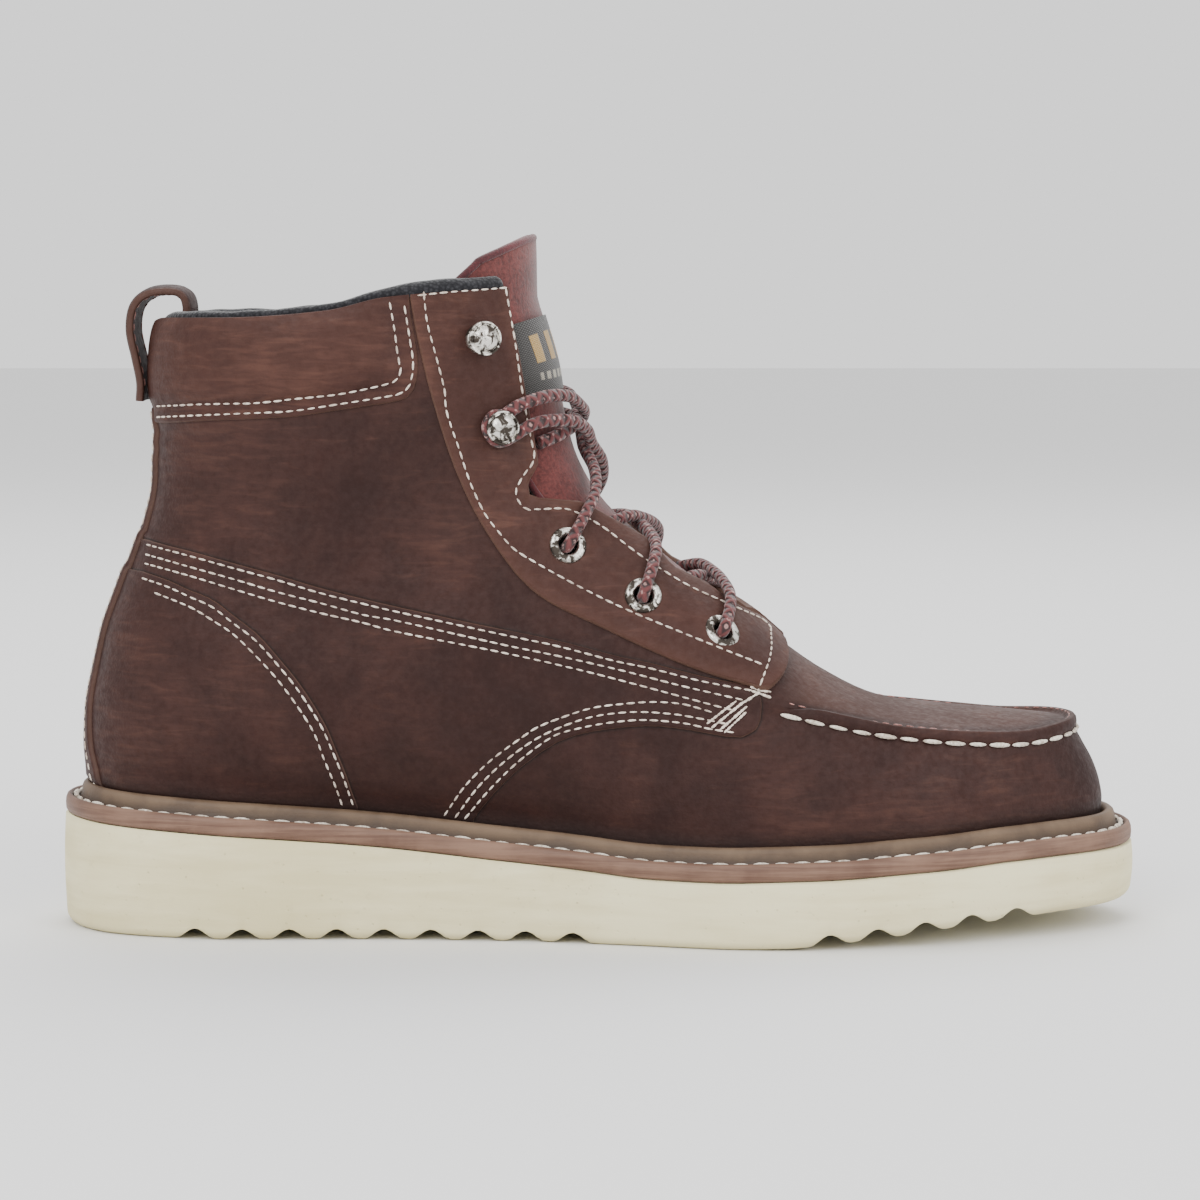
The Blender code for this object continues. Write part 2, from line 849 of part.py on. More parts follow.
def make_pull_loop(parts):
    path = rounded_path(side_points(LOOP_PATH), 2)
    outline = strap_outline(path, LOOP_THICK)
    return prism("pull_loop", outline, -LOOP_WIDTH / 2, LOOP_WIDTH / 2, parts)


def make_tongue(parts):
    """A curved pad that follows the closed throat from inside it."""
    centre = [side_point(share, rise) for share, rise, _ in TONGUE]
    along = np.gradient(np.array(centre), axis=0)
    along /= np.linalg.norm(along, axis=1)[:, None]
    rows = []
    for (x, z), (dx, dz), (_, _, reach) in zip(centre, along, TONGUE):
        side = []
        for step in TONGUE_STEPS:
            depth = reach * WIDTH * step * step
            px, pz = x + dz * depth, z - dx * depth
            px = min(px, front_x(pz)) if step else px
            side.append((px, half_width(px, pz) if step else 0.0, pz))
        ring = [(px, centre_y(px, pz) - half, pz) for px, half, pz in side[::-1]]
        ring += [(px, centre_y(px, pz) + half, pz) for px, half, pz in side[1:]]
        rows.append(ring)
    top = WALL + TONGUE_CLEAR
    return sheet("tongue", rows, top, top + TONGUE_THICK, parts)


def sheet(name, rows, low, high, group):
    """A grid of points made a closed pad between two depths under it."""
    points = np.array([point for row in rows for point in row])
    wide = len(rows[0])
    faces = []
    for r in range(len(rows) - 1):
        for i in range(wide - 1):
            a = r * wide + i
            faces.append((a, a + wide, a + wide + 1, a + 1))
    normals = normals_of(points, faces)
    if normals[len(points) // 2][0] < 0:
        normals = -normals
    outer = points - normals * low
    inner = points - normals * high
    shift = len(points)
    edge = list(range(wide))
    edge += [r * wide + wide - 1 for r in range(1, len(rows))]
    edge += [(len(rows) - 1) * wide + i for i in range(wide - 2, -1, -1)]
    edge += [r * wide for r in range(len(rows) - 2, 0, -1)]
    closed = list(faces) + [tuple(i + shift for i in face[::-1]) for face in faces]
    for a, b in zip(edge, edge[1:] + edge[:1]):
        closed.append((a, b, b + shift, a + shift))
    return new_object(name, np.concatenate([outer, inner]), closed, group)


class Skin:
    """Finds where a side-view point lies on the hood, and which way it faces there."""

    def __init__(self, distance):
        points, faces, _, _ = moved_hood(distance, False)
        self.tree = BVHTree.FromPolygons([Vector(point) for point in points], faces)

    def at(self, share, rise, side):
        x, z = side_point(share, rise)
        start = Vector((x, side * WIDTH, z))
        place, normal, _, _ = self.tree.ray_cast(start, Vector((0, -side, 0)))
        if normal.y * side < 0:
            normal = -normal
        return place, normal


def turned(name, profile, place, normal, steps, group):
    """A profile of (radius, height), running up its outer side, turned about the normal at a place."""
    mesh = bpy.data.meshes.new(name)
    points = [(radius, 0, height) for radius, height in profile[::-1]]
    closed = profile[0][0] > 0
    edges = [(i, i + 1) for i in range(len(points) - 1)]
    if closed:
        edges.append((len(points) - 1, 0))
    mesh.from_pydata(points, edges, [])
    item = placed(name, mesh, group)
    screw = item.modifiers.new("Turn", "SCREW")
    screw.axis = "Z"
    screw.steps = steps
    screw.render_steps = steps
    screw.use_merge_vertices = True
    screw.merge_threshold = 0.00002
    item.rotation_mode = "QUATERNION"
    item.rotation_quaternion = normal.to_track_quat("Z", "Y")
    item.location = place
    return item


def make_eyelets(skin, parts, cutters, pierced):
    outer = EYELET_HOLE + BARREL
    depth = WALL + OVERLAY + 2 * GAP
    profile = (
        (EYELET_HOLE, -depth),
        (outer, -depth),
        (outer, FLANGE_LIFT),
        (EYELET_RIM, FLANGE_LIFT),
        (EYELET_RIM - EDGE_BREAK, FLANGE_LIFT + 0.6 * EYELET_RISE),
        (0.5 * (EYELET_RIM + EYELET_HOLE), FLANGE_LIFT + EYELET_RISE),
        (EYELET_HOLE, FLANGE_LIFT + 0.5 * EYELET_RISE),
    )
    for number, (share, rise) in enumerate(EYELETS, 1):
        for label, side in (("outer", -1), ("inner", 1)):
            place, normal = skin.at(share, rise, side)
            turned(f"eyelet_{label}_{number}", profile, place, normal, 16, parts)
            pierce(f"eyelet_{label}_{number}", outer + GAP, place, normal, pierced[side], cutters)


def make_hooks(skin, parts, cutters, pierced):
    """Speed hooks: a foot through the leather, a neck that the lace goes round, a domed cap."""
    depth = WALL + OVERLAY + 2 * GAP
    waist = 1.2 * HOOK_NECK
    under = FLANGE_LIFT + HOOK_STAND
    profile = (
        (0.0, -depth),
        (HOOK_NECK, -depth),
        (HOOK_NECK, FLANGE_LIFT),
        (HOOK_FOOT, FLANGE_LIFT),
        (HOOK_FOOT, FLANGE_LIFT + HOOK_PLATE),
        (waist, FLANGE_LIFT + 2 * HOOK_PLATE),
        (waist, under),
        (HOOK_CAP, under + 0.5 * HOOK_PLATE),
        (HOOK_CAP, under + 1.5 * HOOK_PLATE),
        (0.7 * HOOK_CAP, under + 0.85 * HOOK_DOME),
        (0.0, under + HOOK_DOME),
    )
    for number, (share, rise) in enumerate(HOOKS, 1):
        for label, side in (("outer", -1), ("inner", 1)):
            place, normal = skin.at(share, rise, side)
            turned(f"hook_{label}_{number}", profile, place, normal, 12, parts)
            pierce(f"hook_{label}_{number}", HOOK_NECK + GAP, place, normal, pierced[side], cutters)


def pierce(name, radius, place, normal, pieces, cutters):
    profile = ((0.0, -DRILL), (radius, -DRILL), (radius, DRILL), (0.0, DRILL))
    drill = turned(name + "_hole", profile, place, normal, 12, cutters)
    for piece in pieces:
        boolean(piece, drill, "DIFFERENCE")


def lace_strand(skin, start, end, side, cutters):
    """A strand from beside its eyelet, over the throat's edge, to the far edge of the tongue."""
    near, _ = skin.at(*start, side)
    far, _ = skin.at(*end, -side)
    middle = (near.z + far.z) / 2
    lean = front_x(middle + LACE) - front_x(middle - LACE)
    outward = Vector((2 * LACE, 0, -lean)).normalized()
    path = []
    for step in range(9):
        share = LACE_LIFTS[-1][0] * step / 8
        point = near.lerp(far, share)
        hit, normal, _, _ = skin.tree.ray_cast(point + outward * WIDTH, -outward)
        if normal.dot(outward) < 0:
            normal = -normal
        over = LACE_OVER * math.sin(math.pi * share) if side > 0 else 0.0
        path.append(hit + normal * (LACE * smooth(LACE_LIFTS, 1, share) + over))
    return tube(f"strand_{side}", path, LACE / 2, cutters)


def tube(name, path, radius, group):
    curve = bpy.data.curves.new(name, "CURVE")
    curve.dimensions = "3D"
    curve.bevel_depth = radius
    curve.bevel_resolution = 2
    curve.use_fill_caps = True
    spline = curve.splines.new("POLY")
    spline.points.add(len(path) - 1)
    for point, place in zip(spline.points, path):
        point.co = (*place, 1.0)
    guide = bpy.data.objects.new(name + "_path", curve)
    group.objects.link(guide)
    graph = bpy.context.evaluated_depsgraph_get()
    mesh = bpy.data.meshes.new_from_object(guide.evaluated_get(graph))
    bpy.data.objects.remove(guide, do_unlink=True)
    built = bmesh.new()
    built.from_mesh(mesh)
    bmesh.ops.remove_doubles(built, verts=built.verts, dist=0.00001)
    bmesh.ops.recalc_face_normals(built, faces=built.faces)
    built.to_mesh(mesh)
    built.free()
    mesh.name = name
    return placed(name, mesh, group)


def make_laces(parts, cutters):
    """Each crossing is two strands joined where they cross."""
    skin = Skin(0.0)
    crossings = []
    for number, (start, end) in enumerate(LACE_CROSSINGS, 1):
        strand = lace_strand(skin, start, end, -1, parts)
        strand.name = f"lace_cross_{number}"
        other = lace_strand(skin, start, end, 1, cutters)
        other.name = f"lace_under_{number}"
        boolean(strand, other, "UNION")
        crossings.append(strand)
    return crossings


def colour_material(name, colour, roughness, metallic=0.0):
    material = bpy.data.materials.new(name)
    material.use_nodes = True
    shader = material.node_tree.nodes["Principled BSDF"]
    shader.inputs["Base Color"].default_value = (*colour, 1.0)
    shader.inputs["Roughness"].default_value = roughness
    shader.inputs["Metallic"].default_value = metallic
    return material


def paint(items, material):
    for item in items:
        item.data.materials.append(material)


def main():
    clear_scene()
    parts = make_collection("work_boot", False)
    cutters = make_collection("cutters", True)
    outsole = make_outsole(parts, cutters)
    welt = make_welt(parts)
    insole = make_insole(parts)
    upper = make_upper(parts, cutters)
    tongue = make_tongue(parts)
    eyestays = make_eyestays(parts, cutters)
    collar = make_collar_band(parts, cutters)
    strip = make_back_strip(parts, cutters)
    loop = make_pull_loop(parts)
    skin = Skin(GAP + OVERLAY)
    pierced = {-1: (upper, eyestays[0]), 1: (upper, eyestays[1])}
    make_eyelets(skin, parts, cutters, pierced)
    make_hooks(skin, parts, cutters, pierced)
    laces = make_laces(parts, cutters)
    metal = [item for item in parts.objects if item.name.startswith(("eyelet_", "hook_"))]
    paint([outsole], colour_material("sole_cream", (0.85, 0.80, 0.58), 0.7))
    paint([welt], colour_material("welt_tan", (0.22, 0.13, 0.08), 0.6))
    paint([insole], colour_material("insole_board", (0.12, 0.10, 0.09), 0.9))
    paint([upper, *eyestays, strip], colour_material("upper_leather", (0.08, 0.03, 0.024), 0.6))
    paint([collar], colour_material("collar_leather", (0.11, 0.05, 0.035), 0.6))
    paint([tongue, loop], colour_material("tongue_leather", (0.12, 0.02, 0.02), 0.6))
    paint(laces, colour_material("lace_brown", (0.10, 0.03, 0.025), 0.8))
    paint(metal, colour_material("nickel", (0.35, 0.33, 0.30), 0.35, 1.0))


main()
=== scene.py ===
import bisect
import json
import math

import bmesh
import bpy
import numpy as np
from mathutils import Matrix, Vector, noise
from mathutils.bvhtree import BVHTree

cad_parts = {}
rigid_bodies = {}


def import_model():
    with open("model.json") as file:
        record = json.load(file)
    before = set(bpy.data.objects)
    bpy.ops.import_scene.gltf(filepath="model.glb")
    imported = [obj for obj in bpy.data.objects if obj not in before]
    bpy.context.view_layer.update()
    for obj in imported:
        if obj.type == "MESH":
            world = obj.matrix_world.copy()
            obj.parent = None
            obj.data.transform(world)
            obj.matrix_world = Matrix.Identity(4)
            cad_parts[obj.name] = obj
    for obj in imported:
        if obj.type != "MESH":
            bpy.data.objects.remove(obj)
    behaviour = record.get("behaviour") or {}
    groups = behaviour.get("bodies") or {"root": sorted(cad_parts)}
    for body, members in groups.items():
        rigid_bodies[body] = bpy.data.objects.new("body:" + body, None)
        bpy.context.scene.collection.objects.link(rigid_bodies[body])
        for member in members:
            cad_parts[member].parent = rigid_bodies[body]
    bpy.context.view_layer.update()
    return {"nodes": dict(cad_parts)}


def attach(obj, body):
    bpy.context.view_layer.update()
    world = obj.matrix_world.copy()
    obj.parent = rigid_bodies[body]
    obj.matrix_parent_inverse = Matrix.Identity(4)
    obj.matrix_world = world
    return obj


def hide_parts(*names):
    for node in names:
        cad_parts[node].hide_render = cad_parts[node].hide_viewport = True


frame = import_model()

# The boot's main sizes in metres, as in the solids: X heel to toe, outer side at -Y, floor at 0.
boot = {"length": 0.3075, "width": 0.105, "height": 0.193, "gap": 0.0003, "wall": 0.0021}
heelX = -boot["length"] / 2

# The solids' tables. Shares of length, width and height, as each note says.
soleSide = (  # length: bottom, top
    (0.000, 0.000, 0.168), (0.061, 0.000, 0.162), (0.181, 0.000, 0.151), (0.295, 0.000, 0.138),
    (0.406, 0.000, 0.120), (0.487, 0.000, 0.108), (0.549, 0.000, 0.099), (0.607, 0.000, 0.098),
    (0.663, 0.002, 0.101), (0.721, 0.010, 0.104), (0.770, 0.018, 0.109), (0.815, 0.026, 0.113),
    (0.874, 0.033, 0.119), (0.929, 0.036, 0.121), (1.000, 0.037, 0.121),
)
solePlan = (  # length: centre line, half width
    (0.000, 0.000, 0.000), (0.020, 0.000, 0.176), (0.050, 0.000, 0.257), (0.100, 0.000, 0.314),
    (0.170, 0.000, 0.349), (0.300, -0.007, 0.337), (0.420, -0.024, 0.345), (0.520, -0.032, 0.395),
    (0.620, -0.024, 0.470), (0.700, -0.005, 0.500), (0.790, 0.019, 0.484), (0.870, 0.038, 0.415),
    (0.935, 0.046, 0.314), (0.977, 0.048, 0.205), (1.000, 0.048, 0.000),
)
backLine = (  # height: length
    (0.155, 0.027), (0.280, 0.028), (0.354, 0.029), (0.434, 0.041), (0.498, 0.057), (0.584, 0.077),
    (0.666, 0.089), (0.748, 0.090), (0.829, 0.093), (0.907, 0.097), (1.016, 0.105),
)
ridgeLine = (  # length: height
    (0.435, 1.016), (0.448, 0.953), (0.458, 0.902), (0.471, 0.829), (0.476, 0.777), (0.485, 0.715),
    (0.497, 0.674), (0.516, 0.630), (0.542, 0.591), (0.581, 0.541), (0.614, 0.497), (0.643, 0.453),
    (0.669, 0.416), (0.710, 0.372), (0.756, 0.337), (0.809, 0.321), (0.876, 0.311), (0.936, 0.301),
)
seamLine = (  # length: height
    (0.067, 0.570), (0.227, 0.513), (0.367, 0.459), (0.500, 0.404), (0.598, 0.365), (0.646, 0.339),
    (0.688, 0.321), (0.752, 0.299), (0.840, 0.282), (0.884, 0.278), (0.946, 0.287),
)
seamPlan = (  # length: half width
    (0.451, 0.343), (0.526, 0.348), (0.598, 0.357), (0.695, 0.362), (0.760, 0.356), (0.809, 0.341),
    (0.858, 0.308), (0.890, 0.270), (0.916, 0.217), (0.933, 0.155), (0.946, 0.000),
)
shaftPlan = (  # height: half width
    (0.363, 0.357), (0.466, 0.348), (0.570, 0.338), (0.648, 0.338), (0.725, 0.345), (0.829, 0.358),
    (0.907, 0.368), (1.016, 0.381),
)
collarLine = (  # length: height
    (0.087, 0.883), (0.110, 0.897), (0.175, 0.899), (0.256, 0.909), (0.309, 0.928), (0.415, 0.940),
    (0.467, 0.944),
)
wallShape = (  # share of the wall's height: lean at the toe, lean at the heel, swell
    (0.00, 0.00, 0.00, 0.00), (0.10, 0.00, 0.02, 0.08), (0.22, -0.03, 0.18, 0.58),
    (0.42, 0.07, 0.42, 0.97), (0.64, 0.32, 0.64, 0.86), (0.83, 0.67, 0.83, 0.42), (1.00, 1.00, 1.00, 0.00),
)
swellTable = (  # length: width
    (0.00, 0.053), (0.10, 0.045), (0.20, 0.040), (0.45, 0.030), (0.65, 0.010), (1.00, 0.000),
)
throatLine = (  # length, height, from the tongue's root up
    (0.646, 0.480), (0.638, 0.462), (0.622, 0.476), (0.597, 0.508), (0.566, 0.535), (0.546, 0.571),
    (0.502, 0.612), (0.482, 0.631), (0.436, 0.640), (0.434, 0.660), (0.443, 0.686), (0.438, 0.735),
    (0.432, 0.787), (0.427, 0.842), (0.419, 0.902), (0.410, 1.040),
)
tongueLine = (  # reach in from the ridge, then length and height, from the top down
    (0.0150, 0.435, 1.008), (0.0250, 0.442, 0.980), (0.0270, 0.456, 0.905), (0.0230, 0.472, 0.825),
    (0.0190, 0.481, 0.740), (0.0160, 0.500, 0.668), (0.0130, 0.545, 0.588), (0.0095, 0.606, 0.508),
    (0.0060, 0.650, 0.443), (0.0040, 0.690, 0.393),
)
loopLine = (  # length, height, from inside the collar over the top to the back
    (0.1155, 0.830), (0.1170, 0.880), (0.1200, 0.912), (0.1130, 0.932), (0.0880, 0.932),
    (0.0730, 0.914), (0.0690, 0.879), (0.0740, 0.838), (0.0782, 0.803), (0.0777, 0.775),
)
eyeletPlaces = ((0.471, 0.572), (0.539, 0.500), (0.610, 0.448))
hookPlaces = ((0.392, 0.868), (0.408, 0.741))
ribInset, ribThick, ribRise, weltThick = 0.0055, 0.0024, 0.0044, 0.0048
upperInset = ribInset + ribThick + 0.001


class Smooth:
    # a cubic through one column of a table that never overshoots its rows
    def __init__(self, rows, column=1):
        pairs = sorted((row[0], row[column]) for row in rows)
        self.x = [pair[0] for pair in pairs]
        self.y = [pair[1] for pair in pairs]
        step = [b - a for a, b in zip(self.x, self.x[1:])]
        slope = [(b - a) / s for a, b, s in zip(self.y, self.y[1:], step)]
        self.tangent = [slope[0]] + [0.0] * (len(pairs) - 2) + [slope[-1]]
        for i in range(1, len(pairs) - 1):
            if slope[i - 1] * slope[i] > 0:
                near, far = 2 * step[i] + step[i - 1], step[i] + 2 * step[i - 1]
                self.tangent[i] = (near + far) / (near / slope[i - 1] + far / slope[i])
        self.step = step

    def __call__(self, at):
        at = min(max(at, self.x[0]), self.x[-1])
        i = min(max(bisect.bisect_left(self.x, at) - 1, 0), len(self.step) - 1)
        t = (at - self.x[i]) / self.step[i]
        rise = self.y[i] * (1 + 2 * t) * (1 - t) ** 2 + self.y[i + 1] * t * t * (3 - 2 * t)
        bend = self.tangent[i] * (1 - t) - self.tangent[i + 1] * t
        return rise + self.step[i] * t * (1 - t) * bend


def squared(rows, column):
    return [(row[0], row[column] ** 2) for row in rows]


soleBottomCurve, soleTopCurve = Smooth(soleSide, 1), Smooth(soleSide, 2)
centreCurve, soleHalfSquare = Smooth(solePlan, 1), Smooth(squared(solePlan, 2))
backCurve, ridgeCurve, seamCurve = Smooth(backLine), Smooth(ridgeLine), Smooth(seamLine)
frontCurve = Smooth([(rise, share) for share, rise in ridgeLine])
seamHalfSquare, shaftCurve = Smooth(squared(seamPlan, 1)), Smooth(shaftPlan)
collarCurve, swellCurve = Smooth(collarLine), Smooth(swellTable)
wallCurves = [Smooth(wallShape, column) for column in (1, 2, 3)]


def ramp(value, low, high):
    t = min(max((value - low) / (high - low), 0.0), 1.0)
    return t * t * (3 - 2 * t)


def shareOf(x):
    return (x - heelX) / boot["length"]


def sidePoint(share, rise):
    return heelX + share * boot["length"], rise * boot["height"]


def sidePoints(rows):
    return [sidePoint(share, rise) for share, rise in rows]


def backX(z):
    return heelX + boot["length"] * backCurve(z / boot["height"])


def frontX(z):
    return heelX + boot["length"] * frontCurve(z / boot["height"])


def ridgeZ(x):
    return boot["height"] * ridgeCurve(shareOf(x))


def seamZ(x):
    return boot["height"] * seamCurve(shareOf(x))


def collarZ(x):
    return boot["height"] * collarCurve(shareOf(x))


def soleTop(x):
    return boot["height"] * soleTopCurve(shareOf(x))


def soleBottom(x):
    return boot["height"] * soleBottomCurve(shareOf(x))


def weltTop(x):
    return soleTop(x) + weltThick


def centreY(x, z=0.0):
    return boot["width"] * centreCurve(shareOf(x)) * (1 - ramp(z / boot["height"], 0.35, 0.65))


def ovalHalf(q, z):
    fullness = max(1 - abs(2 * q - 1) ** 2.3, 0.0)
    return boot["width"] * shaftCurve(z / boot["height"]) * fullness ** (1 / 2.3)


def seamHalf(x):
    return boot["width"] * math.sqrt(max(seamHalfSquare(shareOf(x)), 0.0))


def forefootShare(x):
    return ramp(shareOf(x), 0.451, 0.614)


def crownPower(x):
    return 2.4 - 1.3 * ramp(shareOf(x), 0.53, 0.70)


# The raised lip of the moc seam: inset from the seam line and rise above it.
lipShape = ((-0.0004, 0.0008), (-0.0006, 0.0020), (-0.0004, 0.0032), (0.0002, 0.0039), (0.0010, 0.0041),
            (0.0018, 0.0038), (0.0023, 0.0031), (0.0029, 0.0026))


def lipShare(x):
    return ramp(shareOf(x), 0.66, 0.70)


def lipRise(x, row):
    flat = 0.0003 * (1 + row)
    return lipShare(x) * lipShape[row][1] + (1 - lipShare(x)) * flat


def halfWidth(x, z):
    back, front = backX(z), frontX(z)
    q = min(max((x - back) / (front - back), 0.0), 1.0)
    blend = forefootShare(x)
    half = (1 - blend) * ovalHalf(q, z)
    if blend > 0:
        base = seamZ(x) + lipRise(x, -1 + len(lipShape))
        eta = min(max((z - base) / (ridgeZ(x) - base), 0.0), 1.0)
        half += blend * seamHalf(x) * math.sqrt(1 - eta ** crownPower(x))
    return half


def movedIn(points, inset):
    along = np.roll(points, -1, axis=0) - np.roll(points, 1, axis=0)
    along /= np.linalg.norm(along, axis=1)[:, None]
    return points + inset * np.stack([-along[:, 1], along[:, 0]], axis=1)


def soleLoop(inset, columns):
    # plan of the sole moved in: heel, outer side, toe, inner side
    outer, inner = [], []
    for i in range(columns + 1):
        share = (1 - math.cos(math.pi * i / columns)) / 2
        half = boot["width"] * math.sqrt(max(soleHalfSquare(share), 0.0))
        middle = boot["width"] * centreCurve(share)
        outer.append((heelX + share * boot["length"], middle - half))
        inner.append((heelX + share * boot["length"], middle + half))
    return movedIn(np.array(outer + inner[-2:0:-1]), inset)


def seamLoop(columns):
    points = []
    tipX = heelX + seamLine[-1][0] * boot["length"]
    rearX = backX(seamLine[0][1] * boot["height"])
    for i in range(2 * columns):
        step = min(i, 2 * columns - i)
        x = rearX + (tipX - rearX) * (1 - math.cos(math.pi * step / columns)) / 2
        z = seamZ(x)
        half = 0.0
        if 0 < step < columns:
            q = (x - backX(z)) / (frontX(z) - backX(z))
            half = (1 - forefootShare(x)) * ovalHalf(q, z) + forefootShare(x) * seamHalf(x)
        points.append((x, centreY(x, z) + (-half if i <= columns else half)))
    return np.array(points)


hoodGrid = {"columns": 96, "split": 52, "across": 20, "rings": 44, "wallRows": 26}


def hood(withLip):
    # the upper's surface with its throat closed: points, triangles, feather ring, collar ring
    columns, split, across = hoodGrid["columns"], hoodGrid["split"], hoodGrid["across"]
    feather, seam = soleLoop(upperInset, columns), seamLoop(columns)
    outward = movedIn(seam, -1.0) - seam
    rings = []
    for row in range(hoodGrid["wallRows"] + 1):
        rise = row / hoodGrid["wallRows"]
        toeLean, heelLean, swell = [curve(rise) for curve in wallCurves]
        ring = []
        for low, high, out in zip(feather, seam, outward):
            toe = ramp(shareOf(low[0]), 0.5, 0.7)
            x, y = low + (high - low) * (toe * toeLean + (1 - toe) * heelLean)
            push = swell * boot["width"] * swellCurve(shareOf(low[0]))
            bottom = weltTop(low[0]) + boot["gap"]
            z = bottom + rise * (seamZ(high[0]) - bottom)
            ring.append((x + out[0] * push, y + out[1] * push, z))
        rings.append(ring)
    for row in range(len(lipShape)) if withLip else [len(lipShape) - 1]:
        ring = []
        for point, out in zip(seam, outward):
            x, y = point - out * lipShape[row][0] * lipShare(point[0])
            ring.append((x, y, seamZ(point[0]) + lipRise(point[0], row)))
        rings.append(ring)
    around = 2 * columns
    points = [point for ring in rings for point in ring]
    faces = []
    for r in range(len(rings) - 1):
        for i in range(around):
            j = (i + 1) % around
            faces.append((r * around + i, r * around + j, (r + 1) * around + j, (r + 1) * around + i))
    top = (len(rings) - 1) * around
    bridges = plugRows(points, top, columns, split, across)
    for near, far in zip(bridges, bridges[1:]):
        for j in range(2 * across):
            faces.append(tuple(dict.fromkeys((near[j], far[j], far[j + 1], near[j + 1]))))
    collar = shaftRows(points, faces, top, bridges[0], columns, split, across)
    points = np.array(points)
    triangles = []
    for face in faces:
        if len(face) == 3:
            triangles.append(face)
            continue
        a, b, c, d = face
        short = np.linalg.norm(points[a] - points[c]) < np.linalg.norm(points[b] - points[d])
        triangles += [(a, b, c), (a, c, d)] if short else [(b, c, d), (b, d, a)]
    return points, triangles, list(range(around)), collar


def plugRows(points, top, columns, split, across):
    # rows over the forefoot, each from the plug's outer edge to its inner edge
    bridges = []
    for i in range(split, columns):
        near, far = top + i, top + 2 * columns - i
        row = [near]
        for j in range(1, 2 * across):
            side = -1 if j <= across else 1
            part = j / (2 * across)
            x = points[near][0] + (points[far][0] - points[near][0]) * part
            base = points[near][2] + (points[far][2] - points[near][2]) * part
            reach = math.cos(math.pi / 2 * (1 - abs(1 - j / across)) ** 1.15)
            z = base + (ridgeZ(x) - base) * (1 - reach * reach) ** (1 / crownPower(x))
            edge = points[near][1] if side < 0 else points[far][1]
            half = abs(edge - centreY(x, points[near][2])) * reach
            if forefootShare(x) < 1:
                half = halfWidth(x, z)
            if j == across:
                half = 0.0
            points.append((x, centreY(x, z) + side * half, z))
            row.append(len(points) - 1)
        bridges.append(row + [far])
    return bridges + [[top + columns] * (2 * across + 1)]


def shaftRows(points, faces, top, bridge, columns, split, across):
    # rings from the seam and the instep up to the collar edge, returning the last one
    loop = [top + i for i in range(split + 1)] + bridge[1:-1]
    loop += [top + 2 * columns - i for i in range(split, 0, -1)]
    half = split + across
    start = []
    for index in loop[: half + 1]:
        x, _, z = points[index]
        start.append(((x - backX(z)) / (frontX(z) - backX(z)), z))
    for ring in range(1, hoodGrid["rings"] + 1):
        rise = ring / hoodGrid["rings"]
        row = []
        for place in range(half + 1):
            qTop = (1 - math.cos(math.pi * place / half)) / 2
            z = collarZ(0.0)
            for _ in range(3):
                z = collarZ(backX(z) + (frontX(z) - backX(z)) * qTop)
            q = start[place][0] + (qTop - start[place][0]) * rise
            z = start[place][1] + (z - start[place][1]) * rise
            q = 0.0 if place == 0 else 1.0 if place == half else q
            x = backX(z) + (frontX(z) - backX(z)) * q
            row.append((x, halfWidth(x, z) if 0 < place < half else 0.0, z))
        first = len(points)
        points += [(x, centreY(x, z) - wide, z) for x, wide, z in row]
        points += [(x, centreY(x, z) + wide, z) for x, wide, z in row[-2:0:-1]]
        following = list(range(first, first + 2 * half))
        for i in range(2 * half):
            j = (i + 1) % (2 * half)
            faces.append((loop[i], loop[j], following[j], following[i]))
        loop = following
    return loop


def normalsOf(points, faces):
    corners = points[np.array(faces)]
    normal = np.cross(corners[:, 1] - corners[:, 0], corners[:, 2] - corners[:, 0])
    total = np.zeros_like(points)
    for column in range(3):
        np.add.at(total, np.array(faces)[:, column], normal)
    size = np.linalg.norm(total, axis=1)[:, None]
    return total / np.where(size > 0, size, 1.0)


print("Shaping the last's surface")
lippedPoints, lippedFaces, lippedFeather, lippedCollar = hood(True)
plainPoints, plainFaces, plainFeather, plainCollar = hood(False)
lippedNormals, plainNormals = normalsOf(lippedPoints, lippedFaces), normalsOf(plainPoints, plainFaces)
plainTree = BVHTree.FromPolygons([Vector(p) for p in plainPoints], plainFaces)

# The photograph's view, for an image of 1200 x 1200.
view = {"distance": 1.0, "height": 0.185, "aim": 0.0922, "lens": 105.0, "sensor": 36.0, "image": 1200}


def makeCamera():
    data = bpy.data.cameras.new("camera")
    data.lens = view["lens"]
    data.sensor_width = view["sensor"]
    camera = bpy.data.objects.new("camera", data)
    bpy.context.scene.collection.objects.link(camera)
    camera.location = (0.0, -view["distance"], view["height"])
    aim = Vector((0.0, 0.0, view["aim"])) - camera.location
    camera.rotation_euler = aim.to_track_quat("-Z", "Y").to_euler()
    bpy.context.scene.camera = camera
    bpy.context.view_layer.update()
    return camera


camera = makeCamera()


def rayThrough(u, v):
    scale = view["sensor"] / view["lens"] / view["image"]
    middle = view["image"] / 2
    towards = Vector(((u - middle) * scale, -(v - middle) * scale, -1.0))
    return camera.matrix_world.translation.copy(), (camera.matrix_world.to_3x3() @ towards).normalized()


def seenAt(pixel, tree):
    # the place on a surface, and the way it faces, behind a pixel of the photograph
    origin, direction = rayThrough(*pixel)
    place, normal, _, _ = tree.ray_cast(origin, direction)
    if place is not None and normal.dot(direction) > 0:
        normal = -normal
    return place, normal


def sideOf(pixels):
    # side-view points of a line read off the photograph
    found = [seenAt(pixel, plainTree)[0] for pixel in pixels]
    return [(place.x, place.z) for place in found if place is not None]


